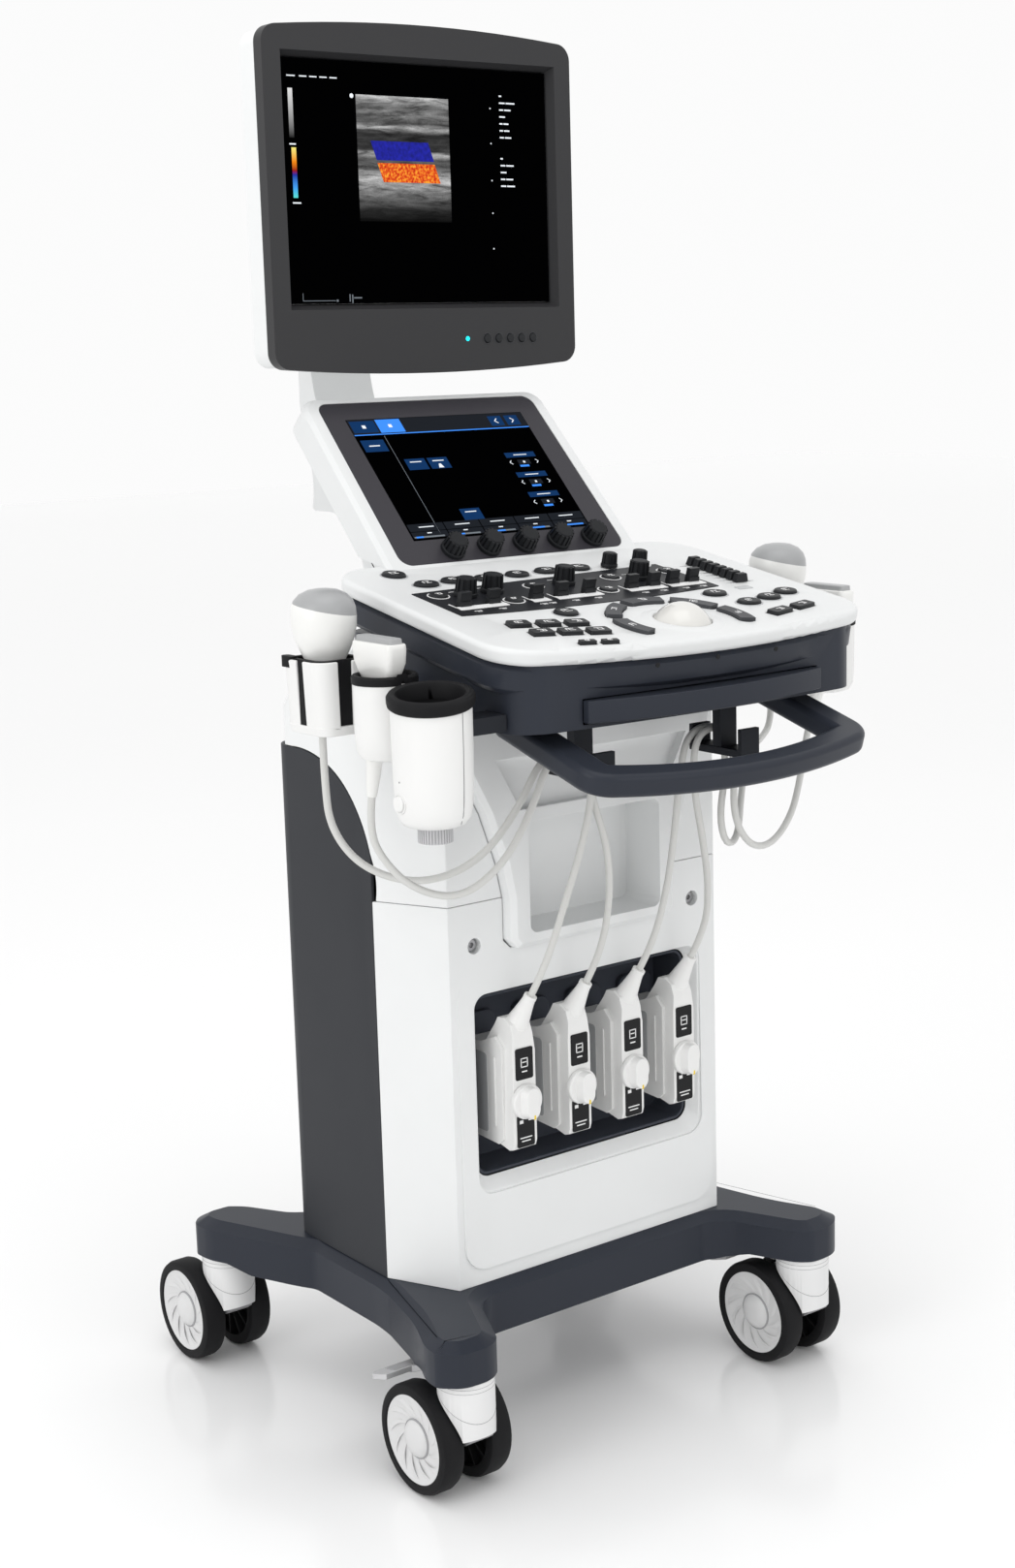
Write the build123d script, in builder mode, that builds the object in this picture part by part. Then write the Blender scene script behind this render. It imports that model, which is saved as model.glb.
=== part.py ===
from build123d import *
from math import cos, sin, radians, tan, sqrt, acos, degrees
import os

os.makedirs("parts", exist_ok=True)

# Driving dimensions, millimetres. Widths are along X, the user stands on the -Y side.
MID_Y = 47.9            # carries the working frame to the middle of the footprint
GAP = 0.4               # seam between fixed covers
BASE_BOTTOM = 109.0
BASE_TOP = 155.2
COLUMN_HALF = 193.4     # half width over the side covers
FACE_HALF = 159.3       # half width of the flat front face
FACE_Y = -133.6         # front face of the column
CHAMFER_Y = -64.3       # where the slanted corner meets the side cover
REAR_Y = 102.6
SEAM_Z = 518.6          # seam between lower and upper column
BODY_Z = 697.0          # underside of the console body
DESK_Z = 821.1          # console surface, carried back to y = 0
DESK_SLOPE = 10.26      # degrees
DESK_T = 14.2
SCREEN_TILT = 45.3      # touch panel, degrees from the horizontal
TOUCH_Y = 32.2
TOUCH_Z = 889.7
WHEEL_R = 51.0
TRAIL = 33.3
FRONT_STEM = (207.1, -206.0)
REAR_STEM = (229.5, 174.8)
CONNECTOR_PITCH = 64.5
CORD_D = 6.6

FLOOR = Plane((0, MID_Y, 0))
FRONT = Plane((0, MID_Y, 0), x_dir=(1, 0, 0), z_dir=(0, -1, 0))
SIDE = Plane((0, MID_Y, 0), x_dir=(0, 1, 0), z_dir=(1, 0, 0))
DESK = Plane(
    (0, MID_Y, DESK_Z),
    x_dir=(1, 0, 0),
    z_dir=(0, -sin(radians(DESK_SLOPE)), cos(radians(DESK_SLOPE))),
)
TOUCH = Plane(
    (0, MID_Y + TOUCH_Y, TOUCH_Z),
    x_dir=(1, 0, 0),
    z_dir=(0, -sin(radians(SCREEN_TILT)), cos(radians(SCREEN_TILT))),
)
LOW = (Align.CENTER, Align.CENTER, Align.MIN)
HIGH = (Align.CENTER, Align.CENTER, Align.MAX)


def at(x, y, z):
    return (x, y + MID_Y, z)


# ---------------------------------------------------------------- base and column
FOOT_RISE = 7.5         # the underside is higher at the feet
STEM_BORE = 8.05
with BuildPart() as base_frame:
    with BuildSketch(FLOOR.offset(BASE_BOTTOM)) as plan:
        with BuildLine():
            Polyline(
                (0, -146), (148, -146), (183, -222), (196, -232), (226, -232), (244, -215),
                (243, -196), (222, -150), (206, -85), (203, -60), (203, 48), (214, 68),
                (256, 165), (258, 188), (244, 205), (212, 205), (194, 190), (168, 145),
                (150, 132), (0, 132),
            )
            mirror(about=Plane.YZ)
        make_face()
        fillet(plan.vertices().filter_by(lambda v: abs(v.X) > 190 and abs(v.Y - MID_Y) > 150), 8)
    extrude(amount=BASE_TOP - BASE_BOTTOM)
    chamfer(base_frame.faces().sort_by(Axis.Z)[-1].edges(), 14, 7)
    for s in (-1, 1):
        with BuildSketch(SIDE.offset(-300)):
            if s < 0:
                Polygon((-150, 100), (-150, 109), (-177, 116.5), (-260, 116.5), (-260, 100), align=None)
            else:
                Polygon((118, 100), (118, 109), (145, 116.5), (240, 116.5), (240, 100), align=None)
        extrude(amount=600, mode=Mode.SUBTRACT)
    with BuildSketch(FLOOR.offset(BASE_BOTTOM)):
        with Locations(FRONT_STEM, (-FRONT_STEM[0], FRONT_STEM[1])):
            Circle(STEM_BORE)
        with Locations(REAR_STEM, (-REAR_STEM[0], REAR_STEM[1])):
            Circle(STEM_BORE)
    extrude(amount=30, mode=Mode.SUBTRACT)
base_frame.part.label = "base_frame"
export_step(base_frame.part, "parts/base_frame.step")

WALL = 3.5
POCKET_W = 256.0
POCKET_H = 174.0
POCKET_Z = 341.0
SCREW_X = 130.5
SCREW_Z = 478.6
with BuildPart() as front_cover:
    with BuildSketch(FLOOR.offset(BASE_TOP)):
        with BuildLine():
            Polyline(
                (-COLUMN_HALF, CHAMFER_Y), (-FACE_HALF, FACE_Y), (FACE_HALF, FACE_Y),
                (COLUMN_HALF, CHAMFER_Y), (COLUMN_HALF - 4, CHAMFER_Y),
                (FACE_HALF - 2.2, FACE_Y + WALL), (-FACE_HALF + 2.2, FACE_Y + WALL),
                (-COLUMN_HALF + 4, CHAMFER_Y), close=True,
            )
        make_face()
    extrude(amount=SEAM_Z - GAP - BASE_TOP)
    with BuildSketch(FRONT.offset(-FACE_Y)):
        with Locations((SCREW_X, SCREW_Z), (-SCREW_X, SCREW_Z)):
            Circle(10)
    extrude(amount=-15.6)
    with BuildSketch(FRONT.offset(-FACE_Y)):
        with Locations((SCREW_X, SCREW_Z), (-SCREW_X, SCREW_Z)):
            Circle(7.2)
    extrude(amount=-9, mode=Mode.SUBTRACT)
    with BuildSketch(FRONT.offset(-FACE_Y)):
        with Locations((SCREW_X, SCREW_Z), (-SCREW_X, SCREW_Z)):
            Circle(2.6)
        with Locations((0, POCKET_Z)):
            RectangleRounded(POCKET_W, POCKET_H, 14)
        with BuildLine():
            Polyline((-98, 530), (-98, 478), (-90, 470), (90, 470), (98, 478), (98, 530), close=True)
        make_face()
    extrude(amount=-20, mode=Mode.SUBTRACT)
front_cover.part.label = "front_cover"
export_step(front_cover.part, "parts/front_cover.step")

with BuildPart() as cover_screws:
    with BuildSketch(FRONT.offset(-FACE_Y - 9)):
        with Locations((SCREW_X, SCREW_Z), (-SCREW_X, SCREW_Z)):
            Circle(5.5)
            RegularPolygon(2.5, 6, mode=Mode.SUBTRACT)
    extrude(amount=4)
    with BuildSketch(FRONT.offset(-FACE_Y - 9)):
        with Locations((SCREW_X, SCREW_Z), (-SCREW_X, SCREW_Z)):
            Circle(2.5)
    extrude(amount=-12)
    with BuildSketch(FRONT.offset(-FACE_Y - 9)):
        with Locations((SCREW_X, SCREW_Z), (-SCREW_X, SCREW_Z)):
            Circle(5.5)
    extrude(amount=1.5)
cover_screws.part.label = "cover_screws"
export_step(cover_screws.part, "parts/cover_screws.step")

COVER_TOP = 645.0
SIDE_MID = (CHAMFER_Y + GAP + REAR_Y) / 2
SIDE_LEN = REAR_Y - CHAMFER_Y - GAP
with BuildPart() as side_rear_cover:
    with BuildSketch(FLOOR.offset(BASE_TOP)) as wrap:
        with Locations((0, SIDE_MID)):
            Rectangle(2 * COLUMN_HALF, SIDE_LEN)
        fillet(wrap.vertices().group_by(Axis.Y)[-1], 28)
    extrude(amount=COVER_TOP - BASE_TOP)
    with BuildSketch(FLOOR.offset(BASE_TOP)) as core:
        with Locations((0, SIDE_MID - WALL)):
            Rectangle(2 * (COLUMN_HALF - WALL), SIDE_LEN)
        fillet(core.vertices().group_by(Axis.Y)[-1], 25)
    extrude(amount=COVER_TOP - BASE_TOP, mode=Mode.SUBTRACT)
    with BuildSketch(SIDE.offset(-COLUMN_HALF - 2)):
        with BuildLine():
            Spline((-66.5, 520), (-66.8, 546), (-51, 588.5), (-18, 624), (17, 640), (64, COVER_TOP))
            Polyline((64, COVER_TOP), (64, 720), (-90, 720), (-90, 520), (-66.5, 520))
        make_face()
    extrude(amount=2 * COLUMN_HALF + 4, mode=Mode.SUBTRACT)
side_rear_cover.part.label = "side_rear_cover"
export_step(side_rear_cover.part, "parts/side_rear_cover.step")

# Upper shell: side outline across the full width, cut to the column's plan, then hollowed
with BuildPart() as upper_shell:
    with BuildSketch(SIDE.offset(-COLUMN_HALF)):
        with BuildLine():
            Spline(
                (-67.5, 520), (-67.4, 546), (-51.6, 589.2), (-18.4, 624.9), (16.8, 640.9),
                (64, COVER_TOP + 0.6),
            )
            Polyline(
                (64, COVER_TOP + 0.6), (REAR_Y, COVER_TOP + 0.6), (REAR_Y, 650), (63, 699),
                (30, 735), (-19, 735), (-19, BODY_Z), (FACE_Y, BODY_Z), (FACE_Y, SEAM_Z),
                (-67.5, SEAM_Z), (-67.5, 520),
            )
        make_face()
    extrude(amount=2 * COLUMN_HALF)
    with BuildSketch(FLOOR.offset(SEAM_Z - 10)):
        Polygon(
            (-COLUMN_HALF, CHAMFER_Y), (-FACE_HALF, FACE_Y), (FACE_HALF, FACE_Y),
            (COLUMN_HALF, CHAMFER_Y), (COLUMN_HALF, 75), (168, REAR_Y), (-168, REAR_Y),
            (-COLUMN_HALF, 75), align=None,
        )
    extrude(amount=300, mode=Mode.INTERSECT)
    with BuildSketch(FLOOR.offset(SEAM_Z - 10)):
        Polygon(
            (-COLUMN_HALF + 4, CHAMFER_Y + 1), (-FACE_HALF + 3, FACE_Y + 4),
            (FACE_HALF - 3, FACE_Y + 4), (COLUMN_HALF - 4, CHAMFER_Y + 1),
            (COLUMN_HALF - 4, 55), (-COLUMN_HALF + 4, 55), align=None,
        )
    extrude(amount=692 - SEAM_Z + 10, mode=Mode.SUBTRACT)
    with BuildSketch(FRONT.offset(-FACE_Y + 5)):
        with BuildLine():
            Polyline(
                (-98, 500), (-98, 518), (-105, 552), (-121.5, 599), (-144, 642), (-150, 692),
                (150, 692), (144, 642), (121.5, 599), (105, 552), (98, 518), (98, 500), close=True,
            )
        make_face()
    extrude(amount=-30, mode=Mode.SUBTRACT)
upper_shell.part.label = "upper_shell"
export_step(upper_shell.part, "parts/upper_shell.step")

# Arched insert with the storage niche
INSERT_Y = -149.0
NICHE_W = 155.0
NICHE_LOW = 484.0
NICHE_TOP = 588.0
NICHE_MID = (NICHE_LOW + NICHE_TOP) / 2
with BuildPart() as niche_insert:
    with BuildSketch(FRONT.offset(-INSERT_Y)):
        with BuildLine():
            Polyline(
                (-97.4, 480), (-89.6, 471), (89.6, 471), (97.4, 480), (97.4, 518),
                (104.3, 552), (120.8, 599), (143.3, 642), (149.3, 691), (-149.3, 691),
                (-143.3, 642), (-120.8, 599), (-104.3, 552), (-97.4, 518), close=True,
            )
        make_face()
    extrude(amount=INSERT_Y - FACE_Y - 6)
    chamfer(niche_insert.faces().sort_by(Axis.Y)[0].edges(), 5)
    with BuildSketch(FRONT.offset(-FACE_Y - 6)):
        with Locations((0, NICHE_MID)):
            RectangleRounded(NICHE_W + 7, NICHE_TOP - NICHE_LOW + 7, 10)
    extrude(amount=-32)
    with BuildSketch(FRONT.offset(-INSERT_Y)):
        with Locations((0, NICHE_MID)):
            RectangleRounded(NICHE_W, NICHE_TOP - NICHE_LOW, 8)
    extrude(amount=-50, mode=Mode.SUBTRACT)
    with BuildSketch(FRONT.offset(-INSERT_Y)):
        Polygon((-86, 600), (86, 600), (112, 648), (-112, 648), align=None)
    extrude(amount=-9, mode=Mode.SUBTRACT)
niche_insert.part.label = "niche_insert"
export_step(niche_insert.part, "parts/niche_insert.step")

TRAY_BACK = -81.0
with BuildPart() as pocket_tray:
    with BuildSketch(FRONT.offset(-FACE_Y - 0.4)):
        with Locations((0, POCKET_Z)):
            RectangleRounded(POCKET_W - 2 * GAP, POCKET_H - 2 * GAP, 13.6)
    extrude(amount=FACE_Y + 0.4 - TRAY_BACK - 3)
    with BuildSketch(FRONT.offset(-TRAY_BACK)):
        with Locations((0, POCKET_Z)):
            RectangleRounded(POCKET_W - 7, POCKET_H - 7, 10.5)
    extrude(amount=80, mode=Mode.SUBTRACT)
pocket_tray.part.label = "pocket_tray"
export_step(pocket_tray.part, "parts/pocket_tray.step")

with BuildPart() as electronics_box:
    with Locations(at(0, 5, BASE_TOP)):
        Box(220, 110, 310, align=LOW)
electronics_box.part.label = "electronics_box"
export_step(electronics_box.part, "parts/electronics_box.step")

# ---------------------------------------------------------------- probe connectors
CONNECTOR_Y = -158.0
CONNECTOR_X = [(i - 1.5) * CONNECTOR_PITCH for i in range(4)]
KNOB_Z = 331.5
LOCK_R = 16.5
LEAN = Vector(8, -11, 26).normalized()
with BuildPart() as probe_connectors:
    for x in CONNECTOR_X:
        with BuildSketch(FRONT.offset(-TRAY_BACK)):
            Polygon(
                (x - 14, 285), (x + 14, 285), (x + 17, 291), (x + 17, 380), (x + 9, 403),
                (x - 9, 403), (x - 17, 380), (x - 17, 291), align=None,
            )
        extrude(amount=TRAY_BACK - CONNECTOR_Y)
    chamfer(probe_connectors.faces().sort_by(Axis.Y)[:4].edges(), 2.5)
    for x in CONNECTOR_X:
        with BuildSketch(FRONT.offset(-CONNECTOR_Y)):
            with Locations((x, KNOB_Z)):
                Circle(4.06)
        extrude(amount=-8, mode=Mode.SUBTRACT)
        with BuildSketch(Plane(at(x + 2, -146, 402), z_dir=LEAN)):
            Circle(7.5)
        extrude(amount=30, taper=5.8)
probe_connectors.part.label = "probe_connectors"
export_step(probe_connectors.part, "parts/probe_connectors.step")

for number, x in enumerate(CONNECTOR_X, 1):
    with BuildPart() as lock_knob:
        with BuildSketch(FRONT.offset(-CONNECTOR_Y + 0.4)):
            with Locations((x, KNOB_Z)):
                Circle(LOCK_R)
        extrude(amount=14)
        fillet(lock_knob.faces().sort_by(Axis.Y)[0].edges(), 2)
        with BuildSketch(FRONT.offset(-CONNECTOR_Y + 0.4)):
            with Locations((x, KNOB_Z)):
                Circle(4)
        extrude(amount=-7)
    lock_knob.part.label = f"lock_knob_{number}"
    export_step(lock_knob.part, f"parts/lock_knob_{number}.step")

# ---------------------------------------------------------------- casters
STEMS = {
    "fl": (-FRONT_STEM[0], FRONT_STEM[1]),
    "fr": FRONT_STEM,
    "rl": (-REAR_STEM[0], REAR_STEM[1]),
    "rr": REAR_STEM,
}
RING_TOP = BASE_BOTTOM + FOOT_RISE - 0.6
for corner, (sx, sy) in STEMS.items():
    with BuildPart() as swivel:
        with Locations(at(sx, sy, 42)):
            Cylinder(26, RING_TOP - 42, align=LOW)
        with BuildSketch(SIDE.offset(sx - 26)):
            Polygon((sy - 30, 30), (sy + 30, 30), (sy + 30, 45.5), (sy - 30, 66), align=None)
        extrude(amount=52, mode=Mode.SUBTRACT)
        with BuildSketch(SIDE.offset(sx - 39), SIDE.offset(sx + 12)):
            with Locations((sy + TRAIL, WHEEL_R)):
                Circle(WHEEL_R + 2)
        extrude(amount=27, mode=Mode.SUBTRACT)
        with BuildSketch(SIDE.offset(sx - 10)):
            Polygon(
                (sy - 14, 78), (sy + 8, 100), (sy + 30, 98), (sy + 46, 66), (sy + 46, 44),
                (sy + 38, 38), (sy + 26, 38), align=None,
            )
        extrude(amount=20)
        with BuildSketch(SIDE.offset(sx - 36)):
            with Locations((sy + TRAIL, WHEEL_R)):
                Circle(5)
        extrude(amount=72)
        with Locations(at(sx, sy, RING_TOP - 5)):
            Cylinder(8, 27, align=LOW)
    swivel.part.label = f"caster_swivel_{corner}"
    export_step(swivel.part, f"parts/caster_swivel_{corner}.step")
    with BuildPart() as wheels:
        with BuildSketch(SIDE.offset(sx - 38), SIDE.offset(sx + 14)):
            with Locations((sy + TRAIL, WHEEL_R)):
                Circle(WHEEL_R)
        extrude(amount=24)
        rims = wheels.edges().filter_by(GeomType.CIRCLE)
        fillet(rims, 5)
        with BuildSketch(SIDE.offset(sx - 40)):
            with Locations((sy + TRAIL, WHEEL_R)):
                Circle(5.06)
        extrude(amount=80, mode=Mode.SUBTRACT)
    wheels.part.label = f"caster_wheels_{corner}"
    export_step(wheels.part, f"parts/caster_wheels_{corner}.step")

PEDAL_Y = 31.0
for corner in ("fl", "fr"):
    sx, sy = STEMS[corner]
    with BuildPart() as pedal:
        with BuildSketch(SIDE.offset(sx - 9)):
            Polygon(
                (sy + PEDAL_Y, 99.5), (sy + PEDAL_Y, 104.5), (sy + 60, 104.5), (sy + 76, 97),
                (sy + 76, 91.6), (sy + 72, 93), (sy + 58, 99.5),
                align=None,
            )
        extrude(amount=18)
        with BuildSketch(SIDE.offset(sx - 37)):
            Polygon((sy + 72, 93), (sy + 72, 98), (sy + 106, 86), (sy + 106, 81), align=None)
        extrude(amount=74)
    pedal.part.label = f"brake_pedal_{corner}"
    export_step(pedal.part, f"parts/brake_pedal_{corner}.step")

# ---------------------------------------------------------------- console
BALL_R = 28.0
BALL_DROP = 12.0
BALL_X = 3.0
BALL_V = -275.0
KNOBS = [(-135, -145), (-104, -142), (-22, -140), (60, -147)]
SMALL_KNOBS = [(62, -102), (98, -103)]
PADDLES = [-156, -125, -78, -50, -19, 31, 57, 80, 104]
PADDLE_V = -172.0
ROUNDS = [(-158, -137), (-102, -172), (-54, -137), (37, -135), (5, -171), (106, -134)]
OVALS = [(-145, -100), (-114, -97), (-80, -100), (-43, -98), (-8, -96), (29, -97)]
RIGHT_OVALS = [(93, -216), (104, -250), (135, -243), (165, -233)]
SQUARES = [(-147, -238), (-121, -245), (-96, -252), (-144, -266), (-119, -272), (-94, -279)]
FLATS = [(-126, -304), (-106, -309)]
RIGHT_KEYS = [(109, -285), (144, -277)]
ARCS = [86, 134, 40, -4, 184]
ARC_R = 60.0
SLIDER_X = 150.0
SLIDER_V = -122.0
SLIDER_PITCH = 9.4


def panel_shapes(extra):
    # plan of every push key, grown by extra, on the current sketch plane
    with Locations((-154, -62), (-83, -221)):
        Circle(11 + extra)
    with Locations(*OVALS, *RIGHT_OVALS):
        Ellipse(12.5 + extra, 9 + extra)
    with Locations(*ROUNDS):
        Circle(8.5 + extra)
    with Locations(*SQUARES):
        Rectangle(21 + 2 * extra, 15 + 2 * extra, rotation=-12)
    with Locations(*FLATS):
        Rectangle(16 + 2 * extra, 7 + 2 * extra, rotation=-12)
    with Locations(*RIGHT_KEYS):
        Rectangle(28 + 2 * extra, 13 + 2 * extra, rotation=14)
    for angle in ARCS:
        with Locations((BALL_X, BALL_V)):
            with BuildSketch(mode=Mode.PRIVATE) as wedge:
                SlotArc(
                    CenterArc((0, 0), ARC_R, angle - 14, 28, mode=Mode.PRIVATE),
                    height=15 + 2 * extra,
                )
            add(wedge.sketch)
    with Locations(*[(x, PADDLE_V) for x in PADDLES]):
        Rectangle(12 + 2 * extra, 7 + 2 * extra)


with BuildPart() as console_top:
    with BuildSketch(DESK) as lid:
        with BuildLine():
            Polyline((-211, -298), (-204, -25), (204, -25), (211, -298))
            ThreePointArc((211, -298), (0, -328), (-211, -298))
        make_face()
        fillet(lid.vertices(), 44)
    extrude(amount=-DESK_T)
    fillet(console_top.faces().sort_by(Axis.Z)[-1].edges(), 5)
    with BuildSketch(DESK):
        panel_shapes(0.4)
    extrude(amount=-4.6, mode=Mode.SUBTRACT)
    with BuildSketch(DESK):
        with Locations(*KNOBS, *SMALL_KNOBS):
            Circle(3.06)
        with Locations(*[(SLIDER_X, SLIDER_V - i * SLIDER_PITCH) for i in range(8)]):
            Rectangle(26, 2.4)
    extrude(amount=-8, mode=Mode.SUBTRACT)
    with Locations(DESK.offset(-BALL_DROP) * Location((BALL_X, BALL_V, 0))):
        Sphere(BALL_R + 0.6, mode=Mode.SUBTRACT)
console_top.part.label = "console_top"
export_step(console_top.part, "parts/console_top.step")

with BuildPart() as console_base:
    with BuildSketch(DESK.offset(-DESK_T)) as band:
        with BuildLine():
            Polyline((-207, -295), (-200, -29), (200, -29), (207, -295))
            ThreePointArc((207, -295), (0, -324), (-207, -295))
        make_face()
        fillet(band.vertices(), 41)
    extrude(amount=-26)
    chamfer(console_base.faces().sort_by(Axis.Z)[0].edges(), 5)
    with BuildSketch(FLOOR.offset(BODY_Z)) as belly:
        with BuildLine():
            Polyline((-194, -296), (-194, -31), (194, -31), (194, -296))
            ThreePointArc((194, -296), (0, -306), (-194, -296))
        make_face()
        fillet(belly.vertices(), 34)
    extrude(amount=66)
    with BuildSketch(DESK.offset(-DESK_T)):
        with Locations((0, -160)):
            Rectangle(500, 500)
    extrude(amount=90, mode=Mode.SUBTRACT)
    with Locations(at(0, -320, BODY_Z + 3.5)):
        Box(268, 205, 21.5, align=(Align.CENTER, Align.MIN, Align.MIN), mode=Mode.SUBTRACT)
    with Locations(DESK.offset(-BALL_DROP) * Location((BALL_X, BALL_V, 0))):
        Sphere(BALL_R + 0.6, mode=Mode.SUBTRACT)
console_base.part.label = "console_base"
export_step(console_base.part, "parts/console_base.step")

STRIP_T = 0.8
with BuildPart() as control_strip:
    with BuildSketch(DESK):
        with BuildLine():
            Polyline((-176, -197), (-176, -122), (114, -108), (118, -194))
            ThreePointArc((118, -194), (-30, -204), (-176, -197))
        make_face()
        with Locations(*ROUNDS):
            Circle(9.4, mode=Mode.SUBTRACT)
        with Locations(*[(x, PADDLE_V) for x in PADDLES]):
            Rectangle(13.4, 8.4, mode=Mode.SUBTRACT)
        with Locations(*KNOBS):
            Circle(3.4, mode=Mode.SUBTRACT)
        with Locations(*OVALS[:3]):
            Ellipse(13.4, 9.9, mode=Mode.SUBTRACT)
        with Locations(SMALL_KNOBS[1]):
            Circle(12, mode=Mode.SUBTRACT)
    extrude(amount=STRIP_T)
control_strip.part.label = "control_strip"
export_step(control_strip.part, "parts/control_strip.step")

with BuildPart() as panel_keys:
    with BuildSketch(DESK.offset(-2.6)):
        panel_shapes(0)
    extrude(amount=5.8)
    with BuildSketch(DESK.offset(3)):
        with Locations(*[(x, PADDLE_V) for x in PADDLES]):
            Rectangle(12, 7)
    extrude(amount=8)
panel_keys.part.label = "panel_keys"
export_step(panel_keys.part, "parts/panel_keys.step")

with BuildPart() as tgc_sliders:
    with BuildSketch(DESK.offset(0.5)):
        with Locations(*[(SLIDER_X, SLIDER_V - i * SLIDER_PITCH) for i in range(8)]):
            Rectangle(15, 7.4)
    extrude(amount=8)
    with BuildSketch(DESK.offset(0.5)):
        with Locations(*[(SLIDER_X, SLIDER_V - i * SLIDER_PITCH) for i in range(8)]):
            Rectangle(4, 1.6)
    extrude(amount=-6)
tgc_sliders.part.label = "tgc_sliders"
export_step(tgc_sliders.part, "parts/tgc_sliders.step")

with BuildPart() as trackball:
    with Locations(DESK.offset(-BALL_DROP) * Location((BALL_X, BALL_V, 0))):
        Sphere(BALL_R)
trackball.part.label = "trackball"
export_step(trackball.part, "parts/trackball.step")

for number, (x, v) in enumerate(KNOBS, 1):
    with BuildPart() as knob:
        with BuildSketch(DESK.offset(STRIP_T + 0.5)):
            with Locations((x, v)):
                Circle(10.5)
        extrude(amount=17, taper=5)
        with BuildSketch(DESK.offset(STRIP_T + 0.5)):
            with Locations((x, v)):
                Circle(3)
        extrude(amount=-8)
    knob.part.label = f"panel_knob_{number}"
    export_step(knob.part, f"parts/panel_knob_{number}.step")

for number, (x, v) in enumerate(SMALL_KNOBS, 1):
    with BuildPart() as knob:
        with BuildSketch(DESK.offset(STRIP_T + 0.5)):
            with Locations((x, v)):
                Circle(8)
        extrude(amount=13.5, taper=5)
        with BuildSketch(DESK.offset(STRIP_T + 0.5)):
            with Locations((x, v)):
                Circle(3)
        extrude(amount=-8)
    knob.part.label = f"small_knob_{number}"
    export_step(knob.part, f"parts/small_knob_{number}.step")

with BuildPart() as drawer:
    with BuildSketch(FLOOR.offset(BODY_Z + 5)):
        with BuildLine():
            Polyline((-133, -308), (-133, -300), (133, -300), (133, -308))
            ThreePointArc((133, -308), (0, -328), (-133, -308))
        make_face()
    extrude(amount=19)
    with Locations(at(0, -301, BODY_Z + 5)):
        Box(256, 166, 17, align=(Align.CENTER, Align.MIN, Align.MIN))
    with Locations(at(0, -298, BODY_Z + 7.5)):
        Box(251, 160.5, 20, align=(Align.CENTER, Align.MIN, Align.MIN), mode=Mode.SUBTRACT)
drawer.part.label = "drawer"
export_step(drawer.part, "parts/drawer.step")

# Handle: a closed loop in its own sloping plane, trimmed flush under the console body
HANDLE_SLOPE = 16.1
HANDLE = Plane(
    at(0, -342, 668),
    x_dir=(1, 0, 0),
    z_dir=(0, -sin(radians(HANDLE_SLOPE)), cos(radians(HANDLE_SLOPE))),
)
with BuildPart() as handle:
    with BuildSketch(HANDLE) as loop:
        with BuildLine():
            Polyline((-160, -4), (-160, 132), (160, 132), (160, -4))
            ThreePointArc((160, -4), (0, -31), (-160, -4))
        make_face()
        fillet(loop.vertices().group_by(Axis.Y)[0], 30)
        with BuildLine():
            Polyline((-129, 15), (-129, 140), (129, 140), (129, 15))
            ThreePointArc((129, 15), (0, -7), (-129, 15))
        make_face(mode=Mode.SUBTRACT)
    extrude(amount=-21)
    with BuildSketch(FLOOR.offset(BODY_Z)):
        with Locations((0, -230)):
            Rectangle(400, 200)
    extrude(amount=60, mode=Mode.SUBTRACT)
handle.part.label = "handle"
export_step(handle.part, "parts/handle.step")

# ---------------------------------------------------------------- holders and probes
GEL = (-256.0, -259.0)
SLIM = (255.0, -192.0)
WIDE = (264.0, -116.0)
GEL_R = 33.3
SLIM_R = 27.0
WIDE_X = 54.0
WIDE_Y = 62.0
WIDE_EXIT = 10.0        # the wide probe's cord leaves its holder behind the centre
HOOK_X = 84.0
SLIM_LEAN = Vector(2, 13, -50).normalized()
with BuildPart() as console_brackets:
    with Locations(at(-213, -262, 700)):
        Box(38, 30, 14, align=LOW)
    with Locations(at(GEL[0], GEL[1], 690)):
        Cylinder(GEL_R, 40, align=LOW, mode=Mode.SUBTRACT)
    for s in (-1, 1):
        with Locations(at(s * 213, -192, 704)):
            Box(38, 26, 14, align=LOW)
        with Locations(at(s * SLIM[0], SLIM[1], 690)):
            Cylinder(SLIM_R, 40, align=LOW, mode=Mode.SUBTRACT)
        with Locations(at(s * 215.5, -116, 716)):
            Box(43, 26, 14, align=LOW)
        with Locations(at(s * HOOK_X, -234, 641)):
            Box(20, 11, BODY_Z - 641, align=LOW)
        with Locations(at(s * HOOK_X, -233, 641)):
            Box(22, 70, 7, align=LOW)
        with Locations(at(s * HOOK_X, -265.5, 641)):
            Box(22, 5, 26, align=LOW)
        with Locations(at(s * HOOK_X, -200.5, 641)):
            Box(22, 5, 24, align=LOW)
console_brackets.part.label = "console_brackets"
export_step(console_brackets.part, "parts/console_brackets.step")

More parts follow.
